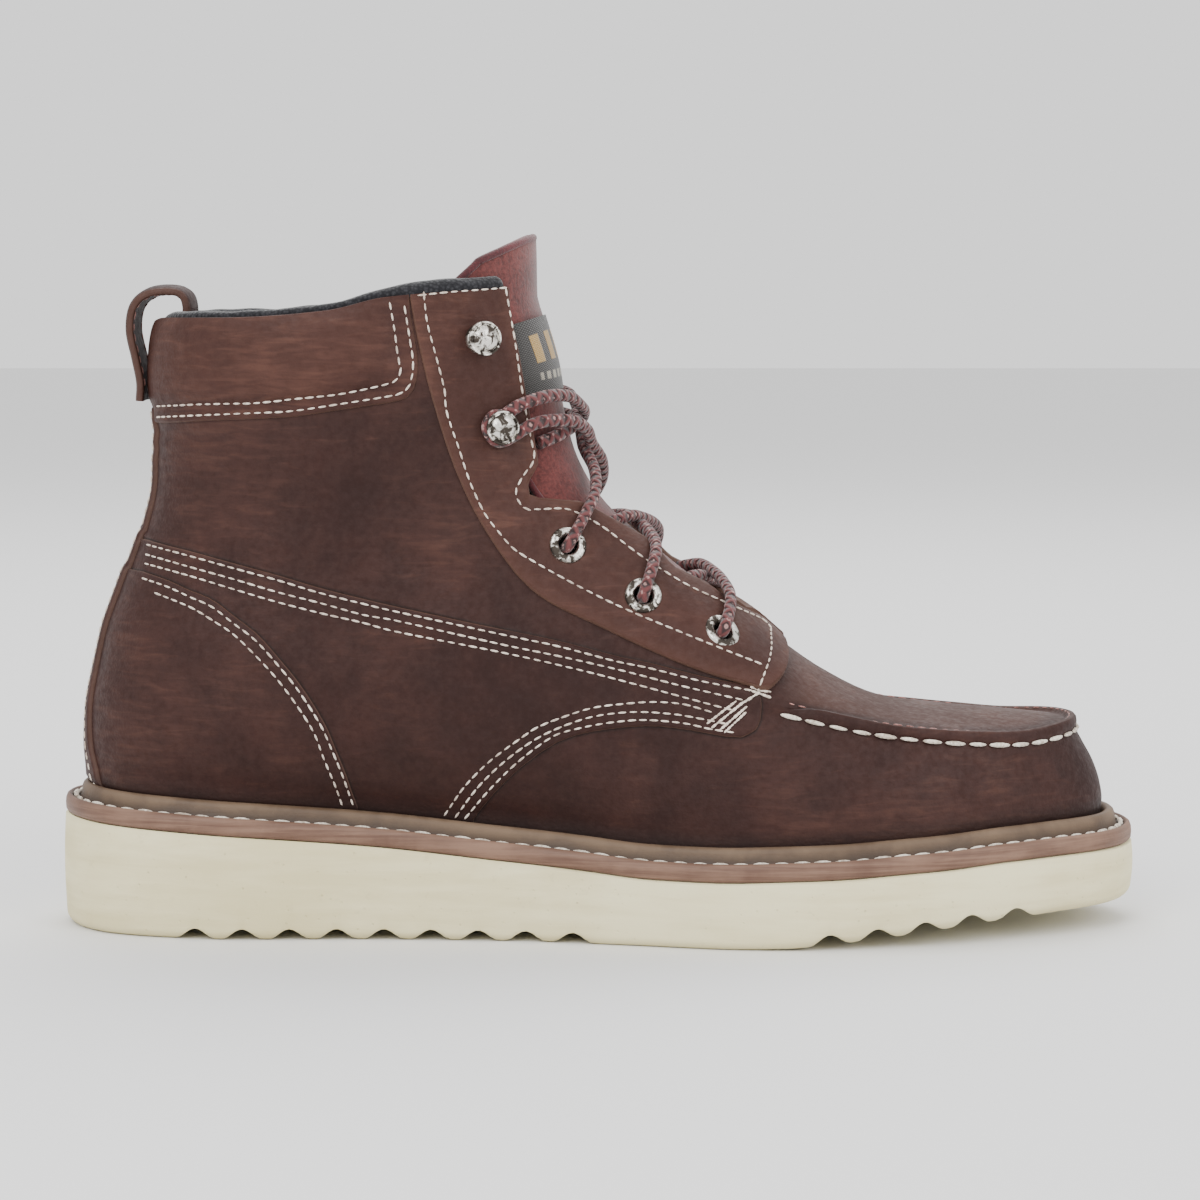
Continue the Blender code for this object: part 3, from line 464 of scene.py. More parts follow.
def curved(points, perSpan):
    # points along a Catmull-Rom curve through the given ones
    points = [np.array(point, float) for point in points]
    ends = [2 * points[0] - points[1]] + points + [2 * points[-1] - points[-2]]
    path = []
    for a, b, c, d in zip(ends, ends[1:], ends[2:], ends[3:]):
        for step in range(perSpan):
            t = step / perSpan
            bend = (2 * a - 5 * b + 4 * c - d) * t * t + (3 * b - a - 3 * c + d) * t ** 3
            path.append(tuple(0.5 * (2 * b + (c - a) * t + bend)))
    return path + [tuple(points[-1])]


def insideBy(points, outline):
    # how far each side-view point lies inside a closed outline, negative outside it
    px, pz = points[:, 0], points[:, -1]
    nearest = np.full(len(points), 1e9)
    inside = np.zeros(len(points), bool)
    for (ax, az), (bx, bz) in zip(outline, outline[1:] + outline[:1]):
        dx, dz = bx - ax, bz - az
        t = np.clip(((px - ax) * dx + (pz - az) * dz) / max(dx * dx + dz * dz, 1e-18), 0, 1)
        nearest = np.minimum(nearest, np.hypot(px - ax - t * dx, pz - az - t * dz))
        if az != bz:
            crosses = ((az > pz) != (bz > pz)) & (px < ax + (pz - az) * dx / dz)
            inside ^= crosses
    return np.where(inside, nearest, -nearest)


def nearLine(points, line):
    px, pz = points[:, 0], points[:, -1]
    nearest = np.full(len(points), 1e9)
    for (ax, az), (bx, bz) in zip(line, line[1:]):
        dx, dz = bx - ax, bz - az
        t = np.clip(((px - ax) * dx + (pz - az) * dz) / max(dx * dx + dz * dz, 1e-18), 0, 1)
        nearest = np.minimum(nearest, np.hypot(px - ax - t * dx, pz - az - t * dz))
    return nearest


def splitAt(rows, faces, column, level):
    # cuts every triangle that a field's level passes through
    rows = list(rows)
    value = [row[column] - level for row in rows]
    value = [0.0 if abs(v) < 6e-6 else v for v in value]
    cut, result = {}, []
    for face in faces:
        signs = [value[index] for index in face]
        if min(signs) >= 0 or max(signs) <= 0:
            result.append(face)
            continue
        above, below = [], []
        for a, b in zip(face, face[1:] + face[:1]):
            if value[a] >= 0:
                above.append(a)
            if value[a] <= 0:
                below.append(a)
            if value[a] * value[b] < 0:
                key = (min(a, b), max(a, b))
                if key not in cut:
                    t = value[key[0]] / (value[key[0]] - value[key[1]])
                    row = rows[key[0]] * (1 - t) + rows[key[1]] * t
                    row[column] = level
                    cut[key] = len(rows)
                    rows.append(row)
                    value.append(0.0)
                above.append(cut[key])
                below.append(cut[key])
        for loop in (above, below):
            result += [(loop[0], loop[i], loop[i + 1]) for i in range(1, len(loop) - 1)]
    return np.array(rows), result


def newPiece(name, points, faces, materials, smooth=True, attributes=()):
    mesh = bpy.data.meshes.new(name)
    mesh.from_pydata([tuple(point) for point in points], [], [tuple(face) for face in faces])
    mesh.update()
    for label, values in attributes:
        layer = mesh.attributes.new(label, "FLOAT", "POINT")
        layer.data.foreach_set("value", np.ascontiguousarray(values, np.float32))
    piece = bpy.data.objects.new(name, mesh)
    bpy.context.scene.collection.objects.link(piece)
    for material in materials:
        mesh.materials.append(material)
    if smooth:
        mesh.shade_smooth()
    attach(piece, "root")
    return piece


def facingOut(piece):
    built = bmesh.new()
    built.from_mesh(piece.data)
    bmesh.ops.remove_doubles(built, verts=built.verts, dist=0.000002)
    bmesh.ops.recalc_face_normals(built, faces=built.faces)
    built.to_mesh(piece.data)
    built.free()
    piece.data.update()


def finished(piece, *modifiers):
    # adds (type, settings) modifiers and applies them, so that the mesh holds the shape
    for kind, settings in modifiers:
        modifier = piece.modifiers.new(kind.title(), kind)
        for label, value in settings.items():
            setattr(modifier, label, value)
    graph = bpy.context.evaluated_depsgraph_get()
    mesh = bpy.data.meshes.new_from_object(piece.evaluated_get(graph))
    piece.modifiers.clear()
    old = piece.data
    piece.data = mesh
    bpy.data.meshes.remove(old)
    mesh.name = piece.name
    return piece


def shell(name, rows, faces, outward, inward, materials, attributes=(), edgeSharp=35):
    # a closed shell between two offsets of one surface, its open edges walled
    points, normals = rows[:, :3], rows[:, 3:6]
    used = sorted({index for face in faces for index in face})
    place = {index: i for i, index in enumerate(used)}
    count = len(used)
    top = (points + normals * outward[:, None])[used]
    low = (points + normals * inward[:, None])[used]
    upper = [tuple(place[index] for index in face) for face in faces]
    closed = upper + [tuple(index + count for index in face[::-1]) for face in upper]
    seen = {}
    for face in upper:
        for a, b in zip(face, face[1:] + face[:1]):
            seen[(a, b)] = True
    for a, b in list(seen):
        if (b, a) not in seen:
            closed.append((b, a, a + count, b + count))
    values = [(label, np.concatenate([value[used], value[used]])) for label, value in attributes]
    piece = newPiece(name, np.concatenate([top, low]), closed, materials, attributes=values)
    if len(materials) > 1:
        for index, polygon in enumerate(piece.data.polygons):
            if len(upper) <= index < 2 * len(upper):
                polygon.material_index = 1
    if edgeSharp:
        piece.data.set_sharp_from_angle(angle=math.radians(edgeSharp))
    return piece


class Wire:
    # a socket whose arithmetic adds Math nodes
    def __init__(self, board, socket):
        self.board, self.socket = board, socket

    def math(self, operation, *values):
        return self.board.add("ShaderNodeMath", {"operation": operation}, dict(enumerate(values)))

    def __add__(self, other):
        return self.math("ADD", self, other)

    def __radd__(self, other):
        return self.math("ADD", other, self)

    def __sub__(self, other):
        return self.math("SUBTRACT", self, other)

    def __rsub__(self, other):
        return self.math("SUBTRACT", other, self)

    def __mul__(self, other):
        return self.math("MULTIPLY", self, other)

    def __rmul__(self, other):
        return self.math("MULTIPLY", other, self)

    def __truediv__(self, other):
        return self.math("DIVIDE", self, other)

    def __pow__(self, other):
        return self.math("POWER", self, other)

    def wave(self):
        return self.math("SINE", self)

    def within(self, low, high, start=0.0, end=1.0):
        return self.board.add("ShaderNodeMapRange", {"interpolation_type": "SMOOTHSTEP"},
                              {0: self, 1: low, 2: high, 3: start, 4: end})


class Board:
    # adds nodes to a tree: their type, their settings, then what their sockets take
    def __init__(self, tree):
        self.tree = tree

    def add(self, kind, settings=None, sockets=None, output=0):
        node = self.tree.nodes.new(kind)
        for label, value in (settings or {}).items():
            setattr(node, label, value)
        for label, value in (sockets or {}).items():
            self.feed(node.inputs[label], value)
        return Wire(self, node.outputs[output])

    def feed(self, socket, value):
        if isinstance(value, Wire):
            self.tree.links.new(value.socket, socket)
        else:
            socket.default_value = value

    def mixed(self, factor, first, second, blend="MIX"):
        return self.add("ShaderNodeMix", {"data_type": "RGBA", "blend_type": blend},
                        {0: factor, 6: first, 7: second}, 2)

    def place(self, stretch=(1.0, 1.0, 1.0)):
        where = self.add("ShaderNodeTexCoord", output="Object")
        return self.add("ShaderNodeMapping", None, {"Vector": where, "Scale": stretch})

    def noise(self, where, scale, detail=3.0, roughness=0.5, warp=0.0):
        return self.add("ShaderNodeTexNoise", None, {"Vector": where, "Scale": scale, "Detail": detail,
                                                     "Roughness": roughness, "Distortion": warp})

    def cells(self, where, scale, feature="F1"):
        return self.add("ShaderNodeTexVoronoi", {"feature": feature}, {"Vector": where, "Scale": scale},
                        "Distance")

    def marked(self, label):
        return self.add("ShaderNodeAttribute", {"attribute_name": label}, output="Fac")

    def bump(self, height, distance, strength=1.0, normal=None):
        sockets = {"Strength": strength, "Distance": distance, "Height": height}
        if normal is not None:
            sockets["Normal"] = normal
        return self.add("ShaderNodeBump", None, sockets)


def newMaterial(name, uniform):
    material = bpy.data.materials.new(name)
    material.use_nodes = True
    shader = material.node_tree.nodes["Principled BSDF"]
    for label, value in uniform.items():
        shader.inputs[label].default_value = value
    return material, Board(material.node_tree), shader


def colour(*values):
    return (*values, 1.0)


leatherLook = {
    "deep": colour(0.0180, 0.0052, 0.0038),  # oiled brown in the shade of the folds
    "body": colour(0.0350, 0.0108, 0.0076),
    "wearAndHighlight": colour(0.0850, 0.0350, 0.0235),  # pale for rubbed nap, and for painted highlights
    "cutEdge": colour(0.1150, 0.0640, 0.0460),
    "grain": 1150.0,  # cells to the metre
    "roughness": (0.50, 0.74),
}


def leatherMaterial(name, tint=1.0, wearAndHighlight=0.5, red=1.0):
    # oiled leather: cloudy nap, fine grain, pale rubbed patches and painted highlights, painted shade beside the seams
    # and the welt
    material, board, shader = newMaterial(name, {"Specular IOR Level": 0.24})
    where = board.place()
    cloud = board.noise(where, 17.0, 5.0, 0.62, 0.4)
    mottle = board.noise(where, 75.0, 4.0, 0.6)
    speck = board.noise(where, 520.0, 3.0, 0.6)
    cells = board.cells(where, leatherLook["grain"])
    fine = board.noise(where, 2300.0, 2.0, 0.55)
    scratch = board.noise(board.place((90.0, 90.0, 520.0)), 1.0, 4.0, 0.55, 0.6)
    body = [component * tint for component in leatherLook["body"][:3]]
    pale = [component * tint for component in leatherLook["wearAndHighlight"][:3]]
    deep = [component * tint for component in leatherLook["deep"][:3]]
    body[0], deep[0] = body[0] * red, deep[0] * red
    nap = (0.55 * cloud + 0.3 * mottle + 0.15 * speck).within(0.36, 0.66)
    base = board.mixed(nap, colour(*deep), colour(*body))
    # Paler from random rubbed wear, plus the per-piece attribute, which holds wear and painted highlights
    wearAndHighlightAmount = (0.6 * cloud + 0.4 * scratch).within(0.50, 0.72) * wearAndHighlight + board.marked("wearAndHighlight") * 0.55
    base = board.mixed(wearAndHighlightAmount.math("MINIMUM", wearAndHighlightAmount, 1.0), base, colour(*pale))
    base = board.mixed(board.marked("cut") * 0.75, base, leatherLook["cutEdge"])
    base = board.mixed(board.marked("shade") * 0.75, base, colour(0.010, 0.006, 0.005))
    grain = 0.5 * cells + 0.35 * fine + 0.6 * speck
    low, high = leatherLook["roughness"]
    rough = (0.5 * cloud + 0.5 * speck).within(0.35, 0.65, high, low)
    normal = board.bump(grain, 0.00022, 0.55)
    normal = board.bump(0.7 * mottle + 0.3 * scratch, 0.0011, 0.35, normal)
    board.feed(shader.inputs["Base Color"], base)
    board.feed(shader.inputs["Roughness"], rough)
    board.feed(shader.inputs["Normal"], normal)
    return material


def suedeMaterial(name, dark, light, scale=900.0):
    material, board, shader = newMaterial(name, {"Specular IOR Level": 0.2, "Sheen Weight": 0.3,
                                                 "Sheen Roughness": 0.5})
    where = board.place()
    cloud = board.noise(where, 60.0, 5.0, 0.65, 0.3)
    nap = board.noise(where, scale, 3.0, 0.7)
    base = board.mixed((0.5 * cloud + 0.5 * nap).within(0.38, 0.64), colour(*dark), colour(*light))
    base = board.mixed(board.marked("shade") * 0.7, base, colour(0.012, 0.006, 0.006))
    board.feed(shader.inputs["Base Color"], base)
    board.feed(shader.inputs["Roughness"], nap.within(0.3, 0.7, 0.72, 0.92))
    board.feed(shader.inputs["Normal"], board.bump(nap, 0.0004, 0.5, board.bump(cloud, 0.0012, 0.4)))
    return material


def fabricMaterial(name, dark, light, pitch=0.0009):
    # close knit lining: small cells with a soft sheen
    material, board, shader = newMaterial(name, {"Roughness": 0.88, "Specular IOR Level": 0.22,
                                                 "Sheen Weight": 0.35, "Sheen Roughness": 0.45})
    where = board.place()
    knit = board.cells(where, 1.0 / pitch)
    cloud = board.noise(where, 70.0, 3.0)
    base = board.mixed((knit + 0.4 * cloud).within(0.25, 0.95), colour(*light), colour(*dark))
    board.feed(shader.inputs["Base Color"], base)
    board.feed(shader.inputs["Normal"], board.bump(1.0 - knit, 0.0003, 0.6))
    return material


def soleMaterial():
    # blown rubber: cream, faintly mottled, tiny pinholes, painted shade on the rounded lower edge
    material, board, shader = newMaterial("cream rubber", {"Specular IOR Level": 0.3,
                                                           "Subsurface Weight": 0.0})
    where = board.place()
    cloud = board.noise(where, 14.0, 4.0, 0.55, 0.3)
    fine = board.noise(where, 240.0, 4.0, 0.6)
    streak = board.noise(board.place((30.0, 30.0, 260.0)), 1.0, 4.0, 0.6, 0.4)
    pits = board.cells(where, 330.0).within(0.05, 0.16, 1.0, 0.0)
    base = board.mixed((0.6 * cloud + 0.4 * streak).within(0.35, 0.65), colour(0.66, 0.585, 0.335),
                       colour(0.80, 0.735, 0.47))
    base = board.mixed(pits * fine.within(0.52, 0.6) * 0.35, base, colour(0.33, 0.27, 0.15))
    base = board.mixed(fine.within(0.62, 0.74) * 0.2, base, colour(0.45, 0.38, 0.22))
    base = board.mixed(board.marked("shade") * 0.35, base, colour(0.40, 0.33, 0.18))
    board.feed(shader.inputs["Base Color"], base)
    board.feed(shader.inputs["Roughness"], fine.within(0.3, 0.7, 0.62, 0.8))
    board.feed(shader.inputs["Normal"], board.bump(0.6 * fine + 0.4 * streak - 0.6 * pits, 0.0004, 0.5))
    return material


def weltMaterial():
    # a tan leather strip: olive on the rib, red-brown on the trimmed edge, which shows its layers
    material, board, shader = newMaterial("tan welt", {"Specular IOR Level": 0.35})
    where = board.place()
    cloud = board.noise(where, 45.0, 4.0, 0.6, 0.3)
    layers = board.noise(board.place((40.0, 40.0, 1100.0)), 1.0, 4.0, 0.6, 0.3)
    fine = board.noise(where, 1100.0, 3.0, 0.6)
    edge = board.mixed((0.5 * cloud + 0.5 * layers).within(0.34, 0.66), colour(0.105, 0.052, 0.034),
                       colour(0.22, 0.128, 0.088))
    rib = board.mixed(cloud.within(0.35, 0.65), colour(0.085, 0.052, 0.031), colour(0.16, 0.105, 0.066))
    base = board.mixed(board.marked("rib"), edge, rib)
    base = board.mixed(board.marked("shade") * 0.9, base, colour(0.020, 0.012, 0.008))
    board.feed(shader.inputs["Base Color"], base)
    board.feed(shader.inputs["Roughness"], cloud.within(0.35, 0.65, 0.48, 0.68))
    board.feed(shader.inputs["Normal"], board.bump(0.5 * layers + 0.5 * fine, 0.0004, 0.5))
    return material


def threadMaterial(name, dark, light):
    material, board, shader = newMaterial(name, {"Roughness": 0.75, "Specular IOR Level": 0.3,
                                                 "Sheen Weight": 0.25})
    where = board.place()
    twist = board.noise(where, 1500.0, 2.0)
    soil = board.noise(where, 130.0, 3.0)
    base = board.mixed((0.5 * twist + 0.5 * soil).within(0.36, 0.62), colour(*dark), colour(*light))
    board.feed(shader.inputs["Base Color"], base)
    board.feed(shader.inputs["Normal"], board.bump(twist, 0.0002, 0.6))
    return material


def nickelMaterial():
    # antiqued nickel: bright rubbed spots over a dark film
    material, board, shader = newMaterial("antique nickel", {"Metallic": 1.0})
    where = board.place()
    patch = board.noise(where, 420.0, 3.0, 0.6, 0.6)
    fine = board.noise(where, 1900.0, 3.0)
    base = board.mixed(patch.within(0.44, 0.57), colour(0.060, 0.050, 0.042), colour(0.72, 0.69, 0.63))
    board.feed(shader.inputs["Base Color"], base)
    board.feed(shader.inputs["Roughness"], patch.within(0.42, 0.58, 0.62, 0.30))
    board.feed(shader.inputs["Normal"], board.bump(0.7 * patch + 0.3 * fine, 0.0004, 0.8))
    return material


def laceMaterial():
    # round braid: crossed strands from the cord's own UV map, with pale flecks
    material, board, shader = newMaterial("braided cord", {"Roughness": 0.72, "Specular IOR Level": 0.35,
                                                           "Sheen Weight": 0.2})
    spread = board.add("ShaderNodeUVMap", {"uv_map": "braid"})
    parts = board.add("ShaderNodeSeparateXYZ", None, {0: spread})
    across = Wire(board, parts.socket.node.outputs[0])
    along = Wire(board, parts.socket.node.outputs[1])
    left = ((across * 4.0 + along * 520.0) * math.pi).wave()
    right = ((across * 4.0 - along * 520.0) * math.pi).wave()
    braid = left.math("MAXIMUM", left, right)
    fleck = (left * right).within(0.25, 0.75) * board.noise(board.place(), 700.0).within(0.46, 0.56)
    base = board.mixed(braid.within(-0.2, 0.9), colour(0.020, 0.006, 0.006), colour(0.115, 0.028, 0.028))
    base = board.mixed(fleck * 0.75, base, colour(0.42, 0.24, 0.22))
    board.feed(shader.inputs["Base Color"], base)
    board.feed(shader.inputs["Normal"], board.bump(braid, 0.0005, 0.8))
    return material


def labelMaterial():
    # black woven tape with plain gold and cream bars, placed by the label's own UV map
    material, board, shader = newMaterial("woven label", {"Roughness": 0.75, "Sheen Weight": 0.3})
    spread = board.add("ShaderNodeUVMap", {"uv_map": "label"})
    parts = board.add("ShaderNodeSeparateXYZ", None, {0: spread})
    u, v = Wire(board, parts.socket.node.outputs[0]), Wire(board, parts.socket.node.outputs[1])
    weave = ((u * 260.0).wave() * (v * 180.0).wave()).within(-1.0, 1.0)
    bar = v.within(0.42, 0.44) * v.within(0.80, 0.82, 1.0, 0.0) * (u * 42.0).wave().within(-0.25, 0.05)
    bar = bar * u.within(0.1, 0.12) * u.within(0.88, 0.9, 1.0, 0.0)
    line = v.within(0.16, 0.18) * v.within(0.27, 0.29, 1.0, 0.0) * u.within(0.14, 0.16)
    line = line * u.within(0.84, 0.86, 1.0, 0.0) * (u * 90.0).wave().within(-0.4, -0.1)
    base = board.mixed(weave, colour(0.010, 0.009, 0.008), colour(0.032, 0.028, 0.024))
    base = board.mixed(bar * (0.6 + 0.4 * weave), base, colour(0.44, 0.27, 0.075))
    base = board.mixed(line * (0.5 + 0.5 * weave), base, colour(0.42, 0.38, 0.30))
    board.feed(shader.inputs["Base Color"], base)
    board.feed(shader.inputs["Normal"], board.bump(weave + bar * 1.5, 0.0003, 0.7))
    return material


print("Mixing the finishes")
bodyLeather = leatherMaterial("oiled brown leather")
stayLeather = leatherMaterial("eyestay leather", 1.18, 0.85)
collarLeather = leatherMaterial("collar leather", 1.15, 0.6)
stripLeather = leatherMaterial("heel strip leather", 0.9, 0.35, 1.15)
tongueSuede = suedeMaterial("red-brown suede", (0.060, 0.014, 0.013), (0.150, 0.040, 0.036))
pipingSuede = suedeMaterial("piping", (0.045, 0.010, 0.012), (0.105, 0.022, 0.026), 1600.0)
liningCloth = fabricMaterial("black lining", (0.007, 0.007, 0.009), (0.030, 0.030, 0.034))
bootLining = fabricMaterial("inner lining", (0.016, 0.012, 0.010), (0.050, 0.040, 0.034))
creamRubber, tanWelt, nickel = soleMaterial(), weltMaterial(), nickelMaterial()
braidedCord, wovenLabel = laceMaterial(), labelMaterial()
fineThread = threadMaterial("fine thread", (0.42, 0.33, 0.27), (0.80, 0.70, 0.60))
redThread = threadMaterial("red thread", (0.16, 0.055, 0.045), (0.42, 0.20, 0.17))
weltThread = threadMaterial("welt thread", (0.38, 0.31, 0.24), (0.80, 0.73, 0.62))

# The upper: how far panels stand out, and how softly its skin rises and falls.
upperLook = {
    "panel": 0.0009,
    "counter": 0.0008,
    "edge": ((-0.00010, 0.0), (0.00005, 0.6), (0.0003, 0.9), (0.0007, 1.0)),  # inside by, share of thickness
    "waves": ((17.0, 0.0007), (48.0, 0.00022)),  # noise to the metre, height
    "lipRound": ((0.0, 0.30), (0.0003, 0.72), (0.0007, 0.94), (0.0012, 1.0)),
}
panelSeen = [(149, 540), (190, 551), (233, 563), (277, 575), (320, 588), (364, 599), (398, 607), (500, 629),
             (557, 641), (615, 656), (649, 663), (701, 676), (745, 685), (757, 690), (761, 699), (761, 714),
             (758, 726), (751, 734), (738, 738), (722, 736), (700, 732), (682, 729), (650, 726), (610, 729),
             (578, 735), (554, 744), (522, 766), (494, 793), (474, 818)]
counterSeen = [(145, 572), (168, 580), (190, 590), (214, 600), (236, 617), (259, 635), (281, 660),
               (303, 687), (325, 722), (336, 747), (347, 773), (358, 806)]
# Soft troughs in side view: ends, half width, depth.
troughs = (
    ((-0.127, 0.141), (-0.104, 0.1385), 0.0022, 0.0007), ((-0.126, 0.136), (-0.108, 0.1335), 0.0020, 0.0005),
    ((-0.122, 0.131), (-0.098, 0.1290), 0.0026, 0.0004), ((0.018, 0.083), (0.045, 0.0720), 0.0035, 0.0004),
    ((0.052, 0.050), (0.058, 0.0410), 0.0040, 0.0005), ((-0.010, 0.060), (0.016, 0.0520), 0.0060, 0.0006),
    ((-0.062, 0.112), (-0.036, 0.0980), 0.0050, 0.0006), ((-0.090, 0.074), (-0.082, 0.0500), 0.0050, 0.0005),
    ((0.080, 0.060), (0.086, 0.0640), 0.0050, 0.0004), ((-0.100, 0.118), (-0.060, 0.1220), 0.0070, 0.0006),
)


def lowered(line, past):
    # a line seen in the photograph, closed under the sole and behind the heel
    points = curved(sideOf(line), 4)
    return [(heelX - past, points[0][1])] + points + [(points[-1][0], -0.01), (heelX - past, -0.01)]


throatOutline = sidePoints(throatLine) + [(sidePoint(throatLine[0][0], 0)[0], sidePoint(0, 1.04)[1])]
panelOutline, counterOutline = lowered(panelSeen, 0.03), lowered(counterSeen, 0.03)


def stepped(distance, table):
    return np.interp(distance, [row[0] for row in table], [row[1] for row in table])


def skinHeight(points, normals, panelIn, counterIn):
    # how far the leather stands out from the last's surface
    height = np.zeros(len(points))
    for scale, size in upperLook["waves"]:
        height += size * np.array([noise.noise(Vector(point) * scale) for point in points])
    for start, end, wide, deep in troughs:
        along = nearLine(points, [start, end])
        height -= deep * np.exp(-(along / wide) ** 2)
    x, z = points[:, 0], points[:, 2]
    foot = np.array([weltTop(value) for value in x])
    steady = np.clip((z - foot - 0.002) / 0.008, 0, 1) * np.clip((boot["height"] * 0.93 - z) / 0.006, 0, 1)
    height *= steady * steady * (3 - 2 * steady)
    out = np.clip((z - foot - 0.0005) / 0.005, 0.15, 1.0)
    height += out * upperLook["panel"] * stepped(panelIn, upperLook["edge"])
    height += out * upperLook["counter"] * stepped(counterIn, upperLook["edge"])
    return height


def holesIn(points, places, radius):
    nearest = np.full(len(points), 1e9)
    for x, z in places:
        nearest = np.minimum(nearest, np.hypot(points[:, 0] - x, points[:, 2] - z) - radius)
    return nearest


def cutUp(rows, faces, levels):
    for column, heights in levels:
        for level in heights:
            rows, faces = splitAt(rows, faces, column, level)
    return rows, faces


def keptWhere(rows, faces, column):
    value = rows[:, column]
    return [face for face in faces if value[list(face)].sum() > 0]


eyeletSides = sidePoints(eyeletPlaces)


def makeUpper():
    points, normals = lippedPoints, lippedNormals
    throat = -insideBy(points, throatOutline)
    throat = np.minimum(throat, holesIn(points, eyeletSides, 0.0031))
    panelIn, counterIn = insideBy(points, panelOutline), insideBy(points, counterOutline)
    rows = np.column_stack([points, normals, throat, panelIn, counterIn])
    edge = [row[0] for row in upperLook["edge"]]
    rows, faces = cutUp(rows, lippedFaces, ((6, [row[0] for row in upperLook["lipRound"]]), (7, edge + [-0.0009]),
                                            (8, edge + [-0.0009])))
    faces = keptWhere(rows, faces, 6)
    height = skinHeight(rows[:, :3], rows[:, 3:6], rows[:, 7], rows[:, 8])
    rim = stepped(rows[:, 6], upperLook["lipRound"])
    middle = -boot["wall"] / 2
    outward = middle + (height - middle) * rim
    inward = middle - boot["wall"] / 2 * rim
    x, z = rows[:, 0], rows[:, 2]
    share = (x - heelX) / boot["length"]
    # The plug's top is painted paler: a painted highlight, passed on in the pale-patch attribute
    plug = np.clip((share - 0.66) / 0.03, 0, 1) * np.clip((z - np.array([seamZ(v) for v in x]) - 0.0036) / 0.001, 0, 1)
    cut = np.zeros(len(rows))
    shade = np.zeros(len(rows))
    for column in (7, 8):
        distance = rows[:, column]
        cut = np.maximum(cut, np.interp(distance, [-0.0001, 0.00005, 0.0003], [0.0, 0.8, 0.0]))
        shade = np.maximum(shade, np.interp(distance, [-0.0009, -0.0001, 0.00005], [0.0, 0.9, 0.0]))
    cut = np.maximum(cut, np.interp(rows[:, 6], [0.0, 0.0007], [1.0, 0.0]))
    feet = z - np.array([weltTop(v) for v in x])
    shade = np.maximum(shade, np.interp(feet, [0.003, 0.0085], [0.9, 0.0]))
    upper = shell("upperLeather", rows, faces, outward, inward, [bodyLeather, bootLining],
                  (("wearAndHighlight", plug * 0.75), ("cut", cut), ("shade", shade)))
    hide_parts("upper")
    return upper


print("Cutting the upper")
upper = makeUpper()

# The eyestays: thin at the rear, a thick raw edge at the front tab.
stayLook = {"rear": 0.0008, "throat": 0.0013, "tab": 0.0022, "middleGap": 0.004,
            "round": ((0.0, 0.25), (0.00025, 0.72), (0.0006, 0.94), (0.0011, 1.0))}
stayRear = ((0.646, 0.362), (0.630, 0.374), (0.570, 0.406), (0.500, 0.456), (0.440, 0.506), (0.398, 0.590),
            (0.370, 0.680), (0.350, 0.780), (0.338, 0.860), (0.330, 0.930))
stayFront = ((0.668, 0.428), (0.671, 0.408), (0.667, 0.386), (0.657, 0.370))


def makeEyestay(name, side, node):
    points, normals = plainPoints, plainNormals
    edge = sidePoints(throatLine)[2:-1]
    outline = sidePoints(((0.333, 0.955), (0.416, 0.955))) + edge[::-1]
    outline += curved(sidePoints(stayFront), 4) + curved(sidePoints(stayRear), 3)
    inside = np.minimum(insideBy(points, outline), side * points[:, 1] - stayLook["middleGap"])
    inside = np.minimum(inside, holesIn(points, eyeletSides, 0.0031))
    panelIn, counterIn = insideBy(points, panelOutline), insideBy(points, counterOutline)
    rows = np.column_stack([points, normals, inside, panelIn, counterIn])
    rows, faces = cutUp(rows, plainFaces, ((6, [row[0] for row in stayLook["round"]]),))
    faces = keptWhere(rows, faces, 6)
    base = skinHeight(rows[:, :3], rows[:, 3:6], rows[:, 7], rows[:, 8])
    x = rows[:, 0]
    thick = np.interp(x, [-0.048, -0.030, 0.018, 0.040], [stayLook["rear"], stayLook["throat"],
                                                         stayLook["throat"], stayLook["tab"]])
    rim = stepped(rows[:, 6], stayLook["round"])
    near = nearLine(rows, edge) < 0.0009
    cut = np.interp(rows[:, 6], [0.0, 0.0006], [1.0, 0.0])
    wearAndHighlight = np.clip(0.25 + 0.5 * np.interp(rows[:, 6], [0.0, 0.004], [1.0, 0.0]), 0, 1)
    piece = shell(name, rows, faces, base + thick * rim, base - 0.0004 - 0.0002 * near, [stayLeather],
                  (("wearAndHighlight", wearAndHighlight), ("cut", cut), ("shade", np.zeros(len(rows)))))
    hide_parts(node)
    return piece


print("Cutting the eyestays, the collar panel and the heel strip")
stayOuter = makeEyestay("eyestayOuter", -1, "eyestay_outer")
stayInner = makeEyestay("eyestayInner", 1, "eyestay_inner")

# The padded collar panel: sewn flat at its lower edge, full above it.
collarLook = {"edge": 0.0009, "puff": 0.0026, "reach": 0.013, "top": 0.9}
collarSeen = [(159, 423), (206, 421), (254, 419), (292, 417), (340, 410), (380, 404), (404, 399), (414, 388),
              (418, 366), (415, 341), (410, 312)]


